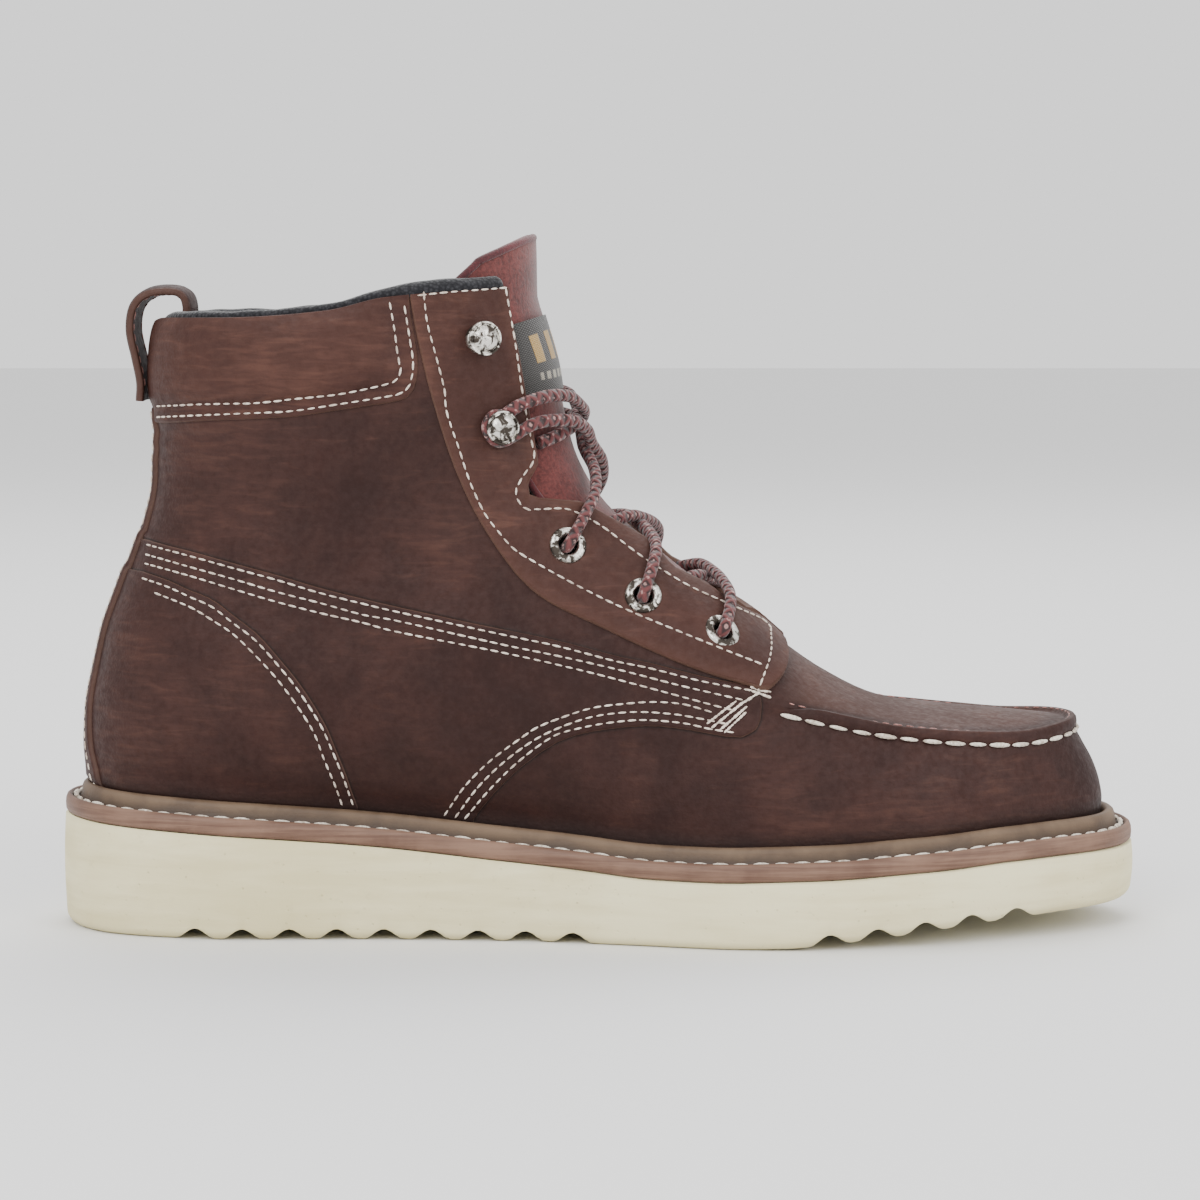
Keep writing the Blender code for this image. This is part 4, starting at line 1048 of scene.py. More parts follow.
def makeCollarPanel():
    points, normals = plainPoints, plainNormals
    line = curved(sideOf(collarSeen), 4)
    outline = [(heelX - 0.02, line[0][1] - 0.0006)] + line + [(line[-1][0] - 0.0006, 0.19), (heelX - 0.02, 0.19)]
    inside = insideBy(points, outline)
    topEdge = np.array([collarZ(value) for value in points[:, 0]]) - points[:, 2]
    rows = np.column_stack([points, normals, inside, topEdge])
    levels = [row[0] for row in stayLook["round"]]
    rows, faces = cutUp(rows, plainFaces, ((6, levels + [0.0024, 0.0052]),))
    faces = keptWhere(rows, faces, 6)
    blank = np.full(len(rows), -1.0)
    base = skinHeight(rows[:, :3], rows[:, 3:6], blank, blank)
    rim = stepped(rows[:, 6], stayLook["round"])
    fill = np.clip((rows[:, 6] - 0.0050) / collarLook["reach"], 0, 1)
    top = np.clip((rows[:, 7] + 0.0006) / 0.009, 0, 1)
    puff = np.sqrt(1 - (1 - fill) ** 2) * (0.25 + 0.75 * np.sqrt(1 - (1 - top) ** 2))
    ripple = np.array([noise.noise(Vector((p[0] * 60, p[1] * 60, p[2] * 26 + 7.0))) for p in rows[:, :3]])
    puff *= 1 + 0.16 * ripple
    outward = base + collarLook["edge"] * rim + collarLook["puff"] * puff
    cut = np.interp(rows[:, 6], [0.0, 0.0005], [0.8, 0.0])
    # Paler where the padding puffs out and along the top edge: painted highlight
    wearAndHighlight = 0.30 * puff + 0.2 * np.interp(rows[:, 7], [0.0, 0.004], [1.0, 0.0])
    piece = shell("collarPanel", rows, faces, outward, base - 0.0004, [collarLeather],
                  (("wearAndHighlight", wearAndHighlight), ("cut", cut), ("shade", np.zeros(len(rows)))))
    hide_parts("collar_band")
    return piece


collarPanel = makeCollarPanel()

# The narrow strip over the heel seam, wider towards the sole: height above the floor, half width.
stripLook = {"thick": 0.0013, "bottom": 0.034, "top": 0.148}
stripHalf = Smooth(((0.034, 0.0150), (0.045, 0.0125), (0.060, 0.0098), (0.090, 0.0085), (0.120, 0.0085),
                    (0.148, 0.0095)))


def makeHeelStrip():
    points, normals = plainPoints, plainNormals
    z = points[:, 2]
    half = np.array([stripHalf(value) for value in z])
    inside = np.minimum(half - np.abs(points[:, 1]), stripLook["top"] - z)
    inside = np.minimum(inside, -0.09 - points[:, 0])
    panelIn, counterIn = insideBy(points, panelOutline), insideBy(points, counterOutline)
    rows = np.column_stack([points, normals, inside, panelIn, counterIn])
    rows, faces = cutUp(rows, plainFaces, ((6, [row[0] for row in stayLook["round"]] + [-0.0003]),))
    faces = keptWhere(rows, faces, 6)
    base = skinHeight(rows[:, :3], rows[:, 3:6], rows[:, 7], rows[:, 8])
    rim = stepped(rows[:, 6], stayLook["round"])
    cut = np.interp(rows[:, 6], [0.0, 0.0006], [0.7, 0.0])
    foot = rows[:, 2] - np.array([weltTop(v) for v in rows[:, 0]])
    shade = np.interp(foot, [0.003, 0.0085], [0.8, 0.0])
    slim = np.clip(foot / 0.006, 0.2, 1.0)
    piece = shell("heelStrip", rows, faces, base + stripLook["thick"] * rim * slim, base - 0.0004,
                  [stripLeather], (("wearAndHighlight", 0.2 * rim), ("cut", cut), ("shade", shade)))
    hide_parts("back_strip")
    return piece


heelStrip = makeHeelStrip()


def lofted(name, loops, materials, attributes=()):
    # closed rings of points joined in order, the first and last filled with strips across
    count = len(loops[0])
    points = [point for ring in loops for point in ring]
    faces = []
    for r in range(len(loops) - 1):
        for i in range(count):
            j = (i + 1) % count
            faces.append((r * count + i, r * count + j, (r + 1) * count + j, (r + 1) * count + i))
    half = count // 2
    for base in (0, (len(loops) - 1) * count):
        faces.append((base, base + 1, base + count - 1))
        for i in range(1, half - 1):
            faces.append((base + i, base + i + 1, base + count - i - 1, base + count - i))
        faces.append((base + half - 1, base + half, base + half + 1))
    piece = newPiece(name, points, faces, materials, attributes=attributes)
    facingOut(piece)
    piece.data.set_sharp_from_angle(angle=math.radians(40))
    return piece


def raised(inset, columns, heightAt):
    return [(x, y, heightAt(x)) for x, y in soleLoop(inset, columns)]


# The wedge sole: rounded lower edge, shallow wavy lugs. Grooves as count and share of the first.
soleLook = {"columns": 330, "round": 0.0034, "pitch": 0.0132, "deep": 0.0030, "heel": (9, 0.132),
            "toe": (5, 0.705), "bulge": 0.0005}


def grooveRise(x):
    rise = 0.0
    for count, first in (soleLook["heel"], soleLook["toe"]):
        place = (x - heelX - first * boot["length"]) / soleLook["pitch"]
        nearest = min(max(round(place), 0), count - 1)
        off = abs(place - nearest)
        if off < 0.5:
            rise = max(rise, soleLook["deep"] * (0.5 + 0.5 * math.cos(2 * math.pi * off)) ** 1.15)
    return rise


def makeOutsole():
    columns, edge = soleLook["columns"], soleLook["round"]
    rings, shade = [], []
    for step in range(7):
        turn = math.pi / 2 * step / 6
        inset, rise = edge * (1 - math.sin(turn)), edge * (1 - math.cos(turn))
        rings.append(raised(inset, columns, lambda x: soleBottom(x) + max(rise, grooveRise(x) + 0.15 * rise)))
        shade.append(0.5 if step < 5 else 0.15)
    for part in (0.3, 0.5, 0.7, 0.85, 0.97, 1.0):
        bulge = -soleLook["bulge"] * math.sin(math.pi * part) + (0.0006 if part == 1.0 else 0.0)
        rings.append(raised(max(bulge, -0.0005), columns, lambda x: soleBottom(x) + edge
                            + part * (soleTop(x) - soleBottom(x) - edge - boot["gap"])))
        shade.append(0.0)
    values = np.repeat(shade, 2 * columns)
    sole = lofted("wedgeSole", rings, [creamRubber], (("shade", values),))
    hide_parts("outsole")
    return sole


# The welt and its rounded rib: inset, rise over the sole's top, on the rib, in shade.
weltLook = {"columns": 200, "channel": 0.0009}


def makeWelt():
    thick, ribMiddle, ribHalf = weltThick, ribInset + ribThick / 2 - 0.0002, ribThick / 2 + 0.0006
    profile = [(0.0006, 0.0, 0, 0.3), (0.0001, 0.0006, 0, 0.0), (0.0000, 0.0020, 0, 0.0), (0.0001, 0.0034, 0, 0.0),
               (0.0005, 0.0045, 0, 0.0), (0.0012, thick + 0.0002, 0, 0.0), (0.0017, thick, 0, 0.35),
               (0.0022, thick - weltLook["channel"], 0, 0.95), (0.0040, thick - weltLook["channel"], 0.3, 1.0)]
    for step in range(9):
        turn = math.pi * (step / 8)
        inset = ribMiddle - ribHalf * math.cos(turn)
        rise = thick + 0.0004 + (ribRise - 0.0008) * max(math.sin(turn), 0.0) ** 0.62
        profile.append((inset, rise, 1.0, 0.55 if step in (0, 8) else 0.0))
    profile.append((ribMiddle + ribHalf, thick, 1.0, 1.0))
    rings, rib, shade = [], [], []
    for inset, rise, onRib, dark in profile:
        rings.append(raised(inset, weltLook["columns"], lambda x: soleTop(x) + rise))
        rib.append(onRib)
        shade.append(dark)
    around = 2 * weltLook["columns"]
    piece = lofted("stormWelt", rings, [tanWelt], (("rib", np.repeat(rib, around)),
                                                   ("shade", np.repeat(shade, around))))
    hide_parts("welt")
    return piece


print("Moulding the sole and laying the welt")
outsole = makeOutsole()
welt = makeWelt()
insole = frame["nodes"]["insole"] if isinstance(frame["nodes"], dict) else bpy.data.objects["insole"]

# The tongue: a curved suede pad with a piped edge and cloth behind it.
tongueLook = {"rows": 64, "across": 17, "under": 0.0034, "thick": 0.0032, "piping": 0.0011}
collarTop = collarZ(sidePoint(0.46, 0)[0]) - 0.0032
tongueCurves = [Smooth([(i, row[column]) for i, row in enumerate(tongueLine)]) for column in (0, 1, 2)]


def tongueSurface(at):
    # one row across the tongue, its outer edge first, on the closed throat's surface
    reach = tongueCurves[0](at)
    x, z = sidePoint(tongueCurves[1](at), tongueCurves[2](at))
    xa, za = sidePoint(tongueCurves[1](at - 0.05), tongueCurves[2](at - 0.05))
    xb, zb = sidePoint(tongueCurves[1](at + 0.05), tongueCurves[2](at + 0.05))
    size = math.hypot(xb - xa, zb - za)
    dx, dz = (xb - xa) / size, (zb - za) / size
    outward = Vector((-dz, 0.0, dx))
    if outward.x < 0:
        outward = -outward
    widest = halfWidth(min(x + dz * reach, frontX(z - dx * reach)), z - dx * reach)
    row = []
    for j in range(-tongueLook["across"], tongueLook["across"] + 1):
        share = math.sin(math.pi / 2 * j / tongueLook["across"])
        start = Vector((x, 0.985 * widest * share, min(z, collarTop)))
        hit, _, _, _ = plainTree.ray_cast(start + outward * 0.06, -outward, 0.12)
        place = Vector((x, start.y, z)) - outward * reach * share * share if hit is None else hit
        row.append((place.x, place.y, place.z + max(z - collarTop, 0.0)))
    return row


def gridFaces(rows, wide):
    faces = []
    for r in range(rows - 1):
        for i in range(wide - 1):
            a = r * wide + i
            faces += [(a, a + wide, a + wide + 1), (a, a + wide + 1, a + 1)]
    return faces


def tongueGrid():
    last = len(tongueLine) - 1
    grid = [tongueSurface(last * r / (tongueLook["rows"] - 1)) for r in range(tongueLook["rows"])]
    points = np.array([point for row in grid for point in row])
    faces = gridFaces(tongueLook["rows"], 2 * tongueLook["across"] + 1)
    normals = normalsOf(points, faces)
    if normals[len(points) // 4][0] < 0:
        normals, faces = -normals, [face[::-1] for face in faces]
    return points, normals, faces


tonguePoints, tongueNormals, tongueFaces = tongueGrid()


def makeTongue():
    points, normals = tonguePoints, tongueNormals
    wide, tall = 2 * tongueLook["across"] + 1, tongueLook["rows"]
    index = np.arange(len(points))
    column, row = index % wide, index // wide
    edge = np.minimum(np.minimum(column, wide - 1 - column) * 0.0016, row * 0.0019)
    rim = np.sqrt(np.clip(1 - (1 - np.clip(edge / 0.0032, 0, 1)) ** 2, 0.12, 1))
    wave = np.array([noise.noise(Vector(point) * 42.0) for point in points])
    middle = -tongueLook["under"] - tongueLook["thick"] / 2
    outward = middle + (tongueLook["thick"] / 2 + 0.0006 * wave) * rim
    inward = middle - tongueLook["thick"] / 2 * rim
    shade = np.interp(np.abs(edge - 0.0040), [0.0, 0.0010], [0.55, 0.0])
    rows = np.column_stack([points, normals])
    piece = shell("tonguePad", rows, tongueFaces, outward, inward, [tongueSuede, liningCloth],
                  (("shade", shade),))
    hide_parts("tongue")
    return piece


def tubeAlong(name, path, radius, sides, materials, closed=False, flat=1.0, ups=None):
    # a tube of rings along a path, with a UV map of turns across and metres along
    path = [Vector(point) for point in path]
    count = len(path)
    up = Vector((0.0, 0.1, 1.0))
    points, alongs, length = [], [], 0.0
    for i, place in enumerate(path):
        if i:
            length += (place - path[i - 1]).length
        after = path[(i + 1) % count] if closed else path[min(i + 1, count - 1)]
        before = path[i - 1] if closed or i else path[0]
        along = (after - before).normalized()
        if ups is not None:
            up = Vector(ups[i])
        side = along.cross(up).normalized()
        up = side.cross(along).normalized()
        for step in range(sides):
            turn = 2 * math.pi * step / sides
            size = radius if isinstance(radius, float) else radius[i]
            points.append(place + side * math.cos(turn) * size + up * math.sin(turn) * size * flat)
        alongs.append(length)
    faces = []
    for r in range(count if closed else count - 1):
        n = (r + 1) % count
        for i in range(sides):
            j = (i + 1) % sides
            faces.append((r * sides + i, r * sides + j, n * sides + j, n * sides + i))
    if not closed:
        faces += [tuple(range(sides))[::-1], tuple(range((count - 1) * sides, count * sides))]
    piece = newPiece(name, points, faces, materials)
    layer = piece.data.uv_layers.new(name="braid")
    for polygon in piece.data.polygons:
        ring = [piece.data.loops[index].vertex_index for index in polygon.loop_indices]
        for index, vertex in zip(polygon.loop_indices, ring):
            turn = (vertex % sides) / sides
            if len(polygon.vertices) == 4 and turn == 0 and max(v % sides for v in ring) == sides - 1:
                turn = 1.0
            layer.data[index].uv = (turn, alongs[vertex // sides])
    facingOut(piece)
    return piece


def makePiping():
    wide, tall = 2 * tongueLook["across"] + 1, tongueLook["rows"]
    edge = [r * wide + 1 for r in range(tall - 14, 0, -1)] + [wide + i for i in range(1, wide - 1)]
    edge += [r * wide + wide - 2 for r in range(1, tall - 14)]
    lift = -tongueLook["under"] - 0.0006
    path = [tonguePoints[i] + tongueNormals[i] * lift for i in edge]
    ups = [tongueNormals[i] for i in edge]
    piece = tubeAlong("tonguePiping", path, tongueLook["piping"], 10, [pipingSuede], ups=ups)
    return piece


labelLook = {"top": 0.1745, "bottom": 0.1535, "across": 0.62, "thick": 0.0007}


def makeLabel():
    # a woven tape sewn across the tongue
    wide = 2 * tongueLook["across"] + 1
    grid, uv = [], []
    for r in range(15):
        z = labelLook["top"] + (labelLook["bottom"] - labelLook["top"]) * r / 14
        low, high = 0.0, 4.0
        for _ in range(24):
            middle = (low + high) / 2
            if sidePoint(0, tongueCurves[2](middle))[1] > z:
                low = middle
            else:
                high = middle
        row = tongueSurface(low)
        for i in range(25):
            spot = (wide - 1) * (0.5 + (i / 24 - 0.5) * labelLook["across"])
            a = int(min(spot, wide - 2))
            grid.append(Vector(row[a]).lerp(Vector(row[a + 1]), spot - a))
            uv.append((i / 24, 1 - r / 14))
    points = np.array(grid)
    faces = gridFaces(15, 25)
    normals = normalsOf(points, faces)
    if normals[len(points) // 2][0] < 0:
        normals, faces = -normals, [face[::-1] for face in faces]
    low = -tongueLook["under"] + 0.0002
    rows = np.column_stack([points, normals])
    piece = shell("tongueLabel", rows, faces, np.full(len(points), low + labelLook["thick"]),
                  np.full(len(points), low - 0.0004), [wovenLabel])
    layer = piece.data.uv_layers.new(name="label")
    for loop in piece.data.loops:
        layer.data[loop.index].uv = uv[loop.vertex_index % len(uv)]
    return piece


print("Padding the tongue")
tongue, piping, label = makeTongue(), makePiping(), makeLabel()

# The padded lining: a soft roll that stands over the collar's edge and runs down inside.
liningLook = {"stand": 0.0016, "thick": 0.0042, "down": 0.030, "front": 0.0016}


def makeLining():
    ring = plainCollar
    half = len(ring) // 2
    stations = []
    for i in list(range(half + 1, 2 * half)) + list(range(0, half)):
        place, normal = plainPoints[ring[i % len(ring)]], plainNormals[ring[i % len(ring)]]
        throatX = sidePoint(0.418, 0)[0]
        if place[0] > throatX:
            continue
        stations.append((place, normal))
    rings = []
    for place, normal in stations:
        out = Vector((normal[0], normal[1], 0.0)).normalized()
        front = ramp(place[0], sidePoint(0.26, 0)[0], sidePoint(0.36, 0)[0])
        stand = liningLook["stand"] + liningLook["front"] * front
        ripple = 0.0005 * noise.noise(Vector(place) * 110.0)
        stand += ripple
        thick = liningLook["thick"] * (1 + 0.2 * noise.noise(Vector(place) * 45.0))
        wall = boot["wall"]
        section = [(-0.0002 + 0.0008 * front, -0.0012), (-0.0001 + 0.0010 * front, 0.35 * stand),
                   (-0.0006 + 0.0006 * front, 0.85 * stand), (-0.0018, 1.12 * stand), (-0.0032, 1.05 * stand),
                   (-0.0046, 0.55 * stand), (-0.0056, -0.0010), (-wall - thick, -0.0050),
                   (-wall - thick - 0.0003, -0.0110), (-wall - 0.85 * thick, -0.0180),
                   (-wall - 0.5 * thick, -0.0250), (-wall - 0.0004, -liningLook["down"]),
                   (-wall + 0.0006, -liningLook["down"]), (-wall + 0.0006, -0.0140), (-wall + 0.0006, -0.0030),
                   (-0.0012, -0.0016)]
        ringPoints = []
        for across, rise in section:
            lean = 0.0
            if rise < -0.002:
                z = place[2] + rise
                lean = halfWidth(place[0], z) - halfWidth(place[0], place[2])
                lean = min(max(lean, -0.003), 0.003) * abs(out.y)
                lean += (backX(place[2]) - backX(z)) * max(-out.x, 0.0)
            ringPoints.append(Vector(place) + out * (across + lean) + Vector((0, 0, rise)))
        rings.append(ringPoints)
    count = len(rings[0])
    points = [point for ringPoints in rings for point in ringPoints]
    faces = []
    for r in range(len(rings) - 1):
        for i in range(count):
            j = (i + 1) % count
            faces.append((r * count + i, r * count + j, (r + 1) * count + j, (r + 1) * count + i))
    faces += [tuple(range(count)), tuple(range((len(rings) - 1) * count, len(rings) * count))]
    piece = newPiece("collarLining", points, faces, [liningCloth])
    facingOut(piece)
    finished(piece, ("SUBSURF", {"levels": 1, "render_levels": 1}))
    piece.data.shade_smooth()
    return piece


lining = makeLining()

# The pull loop: a folded strap with rounded edges over the collar at the heel.
loopLook = {"half": 0.0105, "thick": 0.0024, "edge": 0.0009}


def makePullLoop():
    path = curved(sidePoints(loopLine), 7)
    rings = []
    for i, (x, z) in enumerate(path):
        xa, za = path[max(i - 1, 0)]
        xb, zb = path[min(i + 1, len(path) - 1)]
        size = math.hypot(xb - xa, zb - za)
        nx, nz = -(zb - za) / size, (xb - xa) / size
        flare = 1.0 + 0.06 * math.cos(math.pi * i / (len(path) - 1)) ** 2
        half, thick = loopLook["half"] * flare, loopLook["thick"] / 2
        ring = []
        for step in range(28):
            turn = 2 * math.pi * step / 28
            wide = math.copysign(abs(math.cos(turn)) ** 0.22, math.cos(turn)) * half
            deep = math.copysign(abs(math.sin(turn)) ** 0.55, math.sin(turn)) * thick
            cup = 0.0009 * (1 - (wide / half) ** 2)
            ring.append((x + nx * (deep - cup), wide, z + nz * (deep - cup)))
        rings.append(ring)
    points = [point for ring in rings for point in ring]
    faces = []
    for r in range(len(rings) - 1):
        for i in range(28):
            j = (i + 1) % 28
            faces.append((r * 28 + i, r * 28 + j, (r + 1) * 28 + j, (r + 1) * 28 + i))
    faces += [tuple(range(28)), tuple(range((len(rings) - 1) * 28, len(rings) * 28))]
    edge = np.array([1.0 if abs(point[1]) > 0.93 * loopLook["half"] else 0.0 for point in points])
    piece = newPiece("pullLoop", points, faces, [stripLeather],
                     attributes=(("wearAndHighlight", 0.35 * edge), ("cut", 0.35 * edge), ("shade", 0 * edge)))
    facingOut(piece)
    piece.data.set_sharp_from_angle(angle=math.radians(50))
    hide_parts("pull_loop")
    return piece


pullLoop = makePullLoop()

# What shows on the outside, for what is sewn or set on it.
bpy.context.view_layer.update()


def treeOf(*pieces):
    points, faces = [], []
    for piece in pieces:
        shift = len(points)
        points += [vertex.co.copy() for vertex in piece.data.vertices]
        faces += [tuple(index + shift for index in polygon.vertices) for polygon in piece.data.polygons]
    return BVHTree.FromPolygons(points, faces)


skin = treeOf(upper, stayOuter, stayInner, collarPanel, heelStrip)
bareSkin = treeOf(upper)


def fromSide(x, z, side, tree=None):
    # where a side-view point lies on the outside, and which way it faces
    start = Vector((x, side * boot["width"], z))
    place, normal, _, _ = (tree or skin).ray_cast(start, Vector((0, -side, 0)))
    if place is not None and normal.y * side < 0:
        normal = -normal
    return place, normal


def roundAbout(x, z, side):
    # the middle of the leather round a hole, and the way that it faces
    depths, total = [], Vector()
    for step in range(12):
        turn = 2 * math.pi * step / 12
        place, normal = fromSide(x + 0.0045 * math.cos(turn), z + 0.0045 * math.sin(turn), side)
        if place is not None and place.y * side > 0.008:
            depths.append(place.y)
            total += normal
    return Vector((x, sum(depths) / len(depths), z)), total.normalized()


def turned(name, profile, place, normal, steps, materials):
    # a profile of (radius, height) turned about the normal at a place
    frameAt = normal.to_track_quat("Z", "Y").to_matrix().to_4x4()
    frameAt.translation = place
    points, faces = [], []
    for radius, height in profile:
        for step in range(steps):
            turn = 2 * math.pi * step / steps
            points.append(frameAt @ Vector((radius * math.cos(turn), radius * math.sin(turn), height)))
    rings = len(profile)
    closed = profile[0][0] > 1e-6
    for r in range(rings if closed else rings - 1):
        n = (r + 1) % rings
        for i in range(steps):
            j = (i + 1) % steps
            faces.append((r * steps + i, r * steps + j, n * steps + j, n * steps + i))
    piece = newPiece(name, points, faces, materials)
    facingOut(piece)
    piece.data.set_sharp_from_angle(angle=math.radians(40))
    return piece


eyeletLook = {"hole": 0.0026, "rim": 0.0052, "rise": 0.0011, "steps": 40}
hookLook = {"cap": 0.0048, "neck": 0.0019, "stand": 0.0042, "dome": 0.0016, "steps": 36}
metalPlaces = {}


def makeEyelet(name, node, x, z, side):
    place, normal = roundAbout(x, z, side)
    hole, rim, rise = eyeletLook["hole"], eyeletLook["rim"], eyeletLook["rise"]
    middle = (hole + rim) / 2
    profile = [(hole, -0.0040), (hole + 0.0005, -0.0040), (hole + 0.0006, -0.0004), (rim, -0.0004), (rim, 0.0001)]
    for step in range(9):
        turn = math.pi * step / 8
        profile.append((middle + (rim - middle) * math.cos(turn), 0.0001 + rise * math.sin(turn) ** 0.8))
    piece = turned(name, profile, place, normal, eyeletLook["steps"], [nickel])
    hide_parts(node)
    metalPlaces[name] = (place, normal)
    return piece


def makeHook(name, node, x, z, side):
    place, normal = fromSide(x, z, side)[0], roundAbout(x, z, side)[1]
    cap, neck, stand = hookLook["cap"], hookLook["neck"], hookLook["stand"]
    profile = [(0.00001, -0.003), (neck, -0.003), (neck, -0.0002), (0.84 * cap, -0.0002), (0.86 * cap, 0.0002),
               (0.80 * cap, 0.0009), (0.62 * cap, 0.0012), (1.15 * neck, 0.0017), (neck, stand - 0.0012),
               (0.72 * cap, stand - 0.0006), (0.94 * cap, stand - 0.0003), (cap, stand + 0.0001),
               (0.97 * cap, stand + 0.0005), (0.88 * cap, stand + 0.0005), (0.84 * cap, stand + 0.0002),
               (0.78 * cap, stand + 0.0003)]
    for step in range(1, 8):
        turn = math.pi / 2 * step / 7
        profile.append((max(0.78 * cap * math.cos(turn), 0.00001),
                        stand + 0.0003 + hookLook["dome"] * math.sin(turn)))
    piece = turned(name, profile, place, normal, hookLook["steps"], [nickel])
    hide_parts(node)
    metalPlaces[name] = (place, normal)
    return piece


print("Setting the eyelets and hooks")
for number, (x, z) in enumerate(sidePoints(eyeletPlaces), 1):
    makeEyelet(f"eyeletOuter{number}", f"eyelet_outer_{number}", x, z, -1)
    makeEyelet(f"eyeletInner{number}", f"eyelet_inner_{number}", x, z, 1)
for number, (x, z) in enumerate(sidePoints(hookPlaces), 1):
    makeHook(f"hookOuter{number}", f"hook_outer_{number}", x, z, -1)
    makeHook(f"hookInner{number}", f"hook_inner_{number}", x, z, 1)

# The lace: two cords that cross at each level, then round the lower hooks. Rows are share of the way
# over, and height over the last's surface; negative goes under the far flap.
laceLook = {"radius": 0.00185, "sides": 12, "flat": 0.86, "over": 0.0017, "under": -0.0009}
laceOver = ((0.10, 0.0037), (0.20, 0.0034), (0.34, 0.0016), (0.50, 0.0002), (0.64, -0.0006), (0.80, -0.0034),
            (0.92, -0.0050))
hookOver = ((0.10, 0.0037), (0.20, 0.0032), (0.34, 0.0016), (0.50, 0.0002), (0.64, 0.0014), (0.78, 0.0034),
            (0.90, 0.0042))
topTurn = ((0.76, 0.1492, 0.0040), (0.62, 0.1512, 0.0036), (0.42, 0.1508, 0.0022), (0.20, 0.1482, 0.0010),
           (0.00, 0.1458, 0.0006), (-0.25, 0.1432, 0.0002), (-0.48, 0.1408, -0.0006), (-0.66, 0.1384, -0.0016))


def overFront(start, end, table, over):
    # a strand from one side over the front, lying on the closed throat's surface
    middle = (start.z + end.z) / 2
    lean = frontX(middle + 0.004) - frontX(middle - 0.004)
    outward = Vector((0.008, 0.0, -lean)).normalized()
    path = []
    for share, height in table:
        chord = start.lerp(end, share)
        hit, normal, _, _ = plainTree.ray_cast(chord + outward * 0.1, -outward)
        if normal.dot(outward) < 0:
            normal = -normal
        path.append(hit + normal * (height + over * math.sin(math.pi * share)))
    return path


def makeLace(name, side, nodes):
    label = {-1: "Outer", 1: "Inner"}
    over = laceLook["over"] if side < 0 else laceLook["under"]
    place, normal = metalPlaces[f"eyelet{label[side]}3"]
    other, otherNormal = metalPlaces[f"eyelet{label[-side]}3"]
    path = [Vector(((place.x + other.x) / 2, 0.0, place.z + 0.0012)), place.lerp(other, 0.22) - normal * 0.004,
            place - normal * 0.0052]
    at = side
    for number in (3, 2, 1):
        place, normal = metalPlaces[f"eyelet{label[at]}{number}"]
        path += [place - normal * 0.0022, place + normal * 0.0016]
        if number > 1:
            end, endNormal = metalPlaces[f"eyelet{label[-at]}{number - 1}"]
            path += overFront(place, end, laceOver, over if at == side else -over * 0.6)
            path.append(end - endNormal * 0.0050)
        at = -at
        over = -over * 0.55 if over > 0 else laceLook["over"]
    end, endNormal = metalPlaces[f"hook{label[at]}2"]
    path += overFront(place, end, hookOver, over)
    aside = endNormal.cross(Vector((0, 0, 1))).normalized()
    if aside.x < 0:
        aside = -aside
    up = endNormal.cross(aside).normalized()
    if up.z < 0:
        up = -up
    reach = hookLook["neck"] + laceLook["radius"]
    for degrees in (-62, -115, 180, 125, 72):
        turn = math.radians(degrees)
        path.append(end + endNormal * 0.0024 + (aside * math.cos(turn) + up * math.sin(turn)) * reach)
    for share, z, height in topTurn:
        half = boot["width"] * shaftCurve(z / boot["height"])
        hit, normal, _, _ = plainTree.ray_cast(Vector((0.2, share * at * half, z)), Vector((-1, 0, 0)))
        if normal.x < 0:
            normal = -normal
        lift = height + (0.0016 if at < 0 else -0.0006) * max(1 - abs(share) / 0.6, 0.0)
        path.append(hit + normal * lift)
    curve = [Vector(point) for point in curved([tuple(point) for point in path], 7)]
    piece = tubeAlong(name, curve, laceLook["radius"], laceLook["sides"], [braidedCord], flat=laceLook["flat"])
    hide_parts(*nodes)
    return piece


print("Lacing")
laceOne = makeLace("laceOne", -1, ("lace_cross_1", "lace_cross_2"))
laceTwo = makeLace("laceTwo", 1, ("lace_cross_3", "lace_cross_4"))


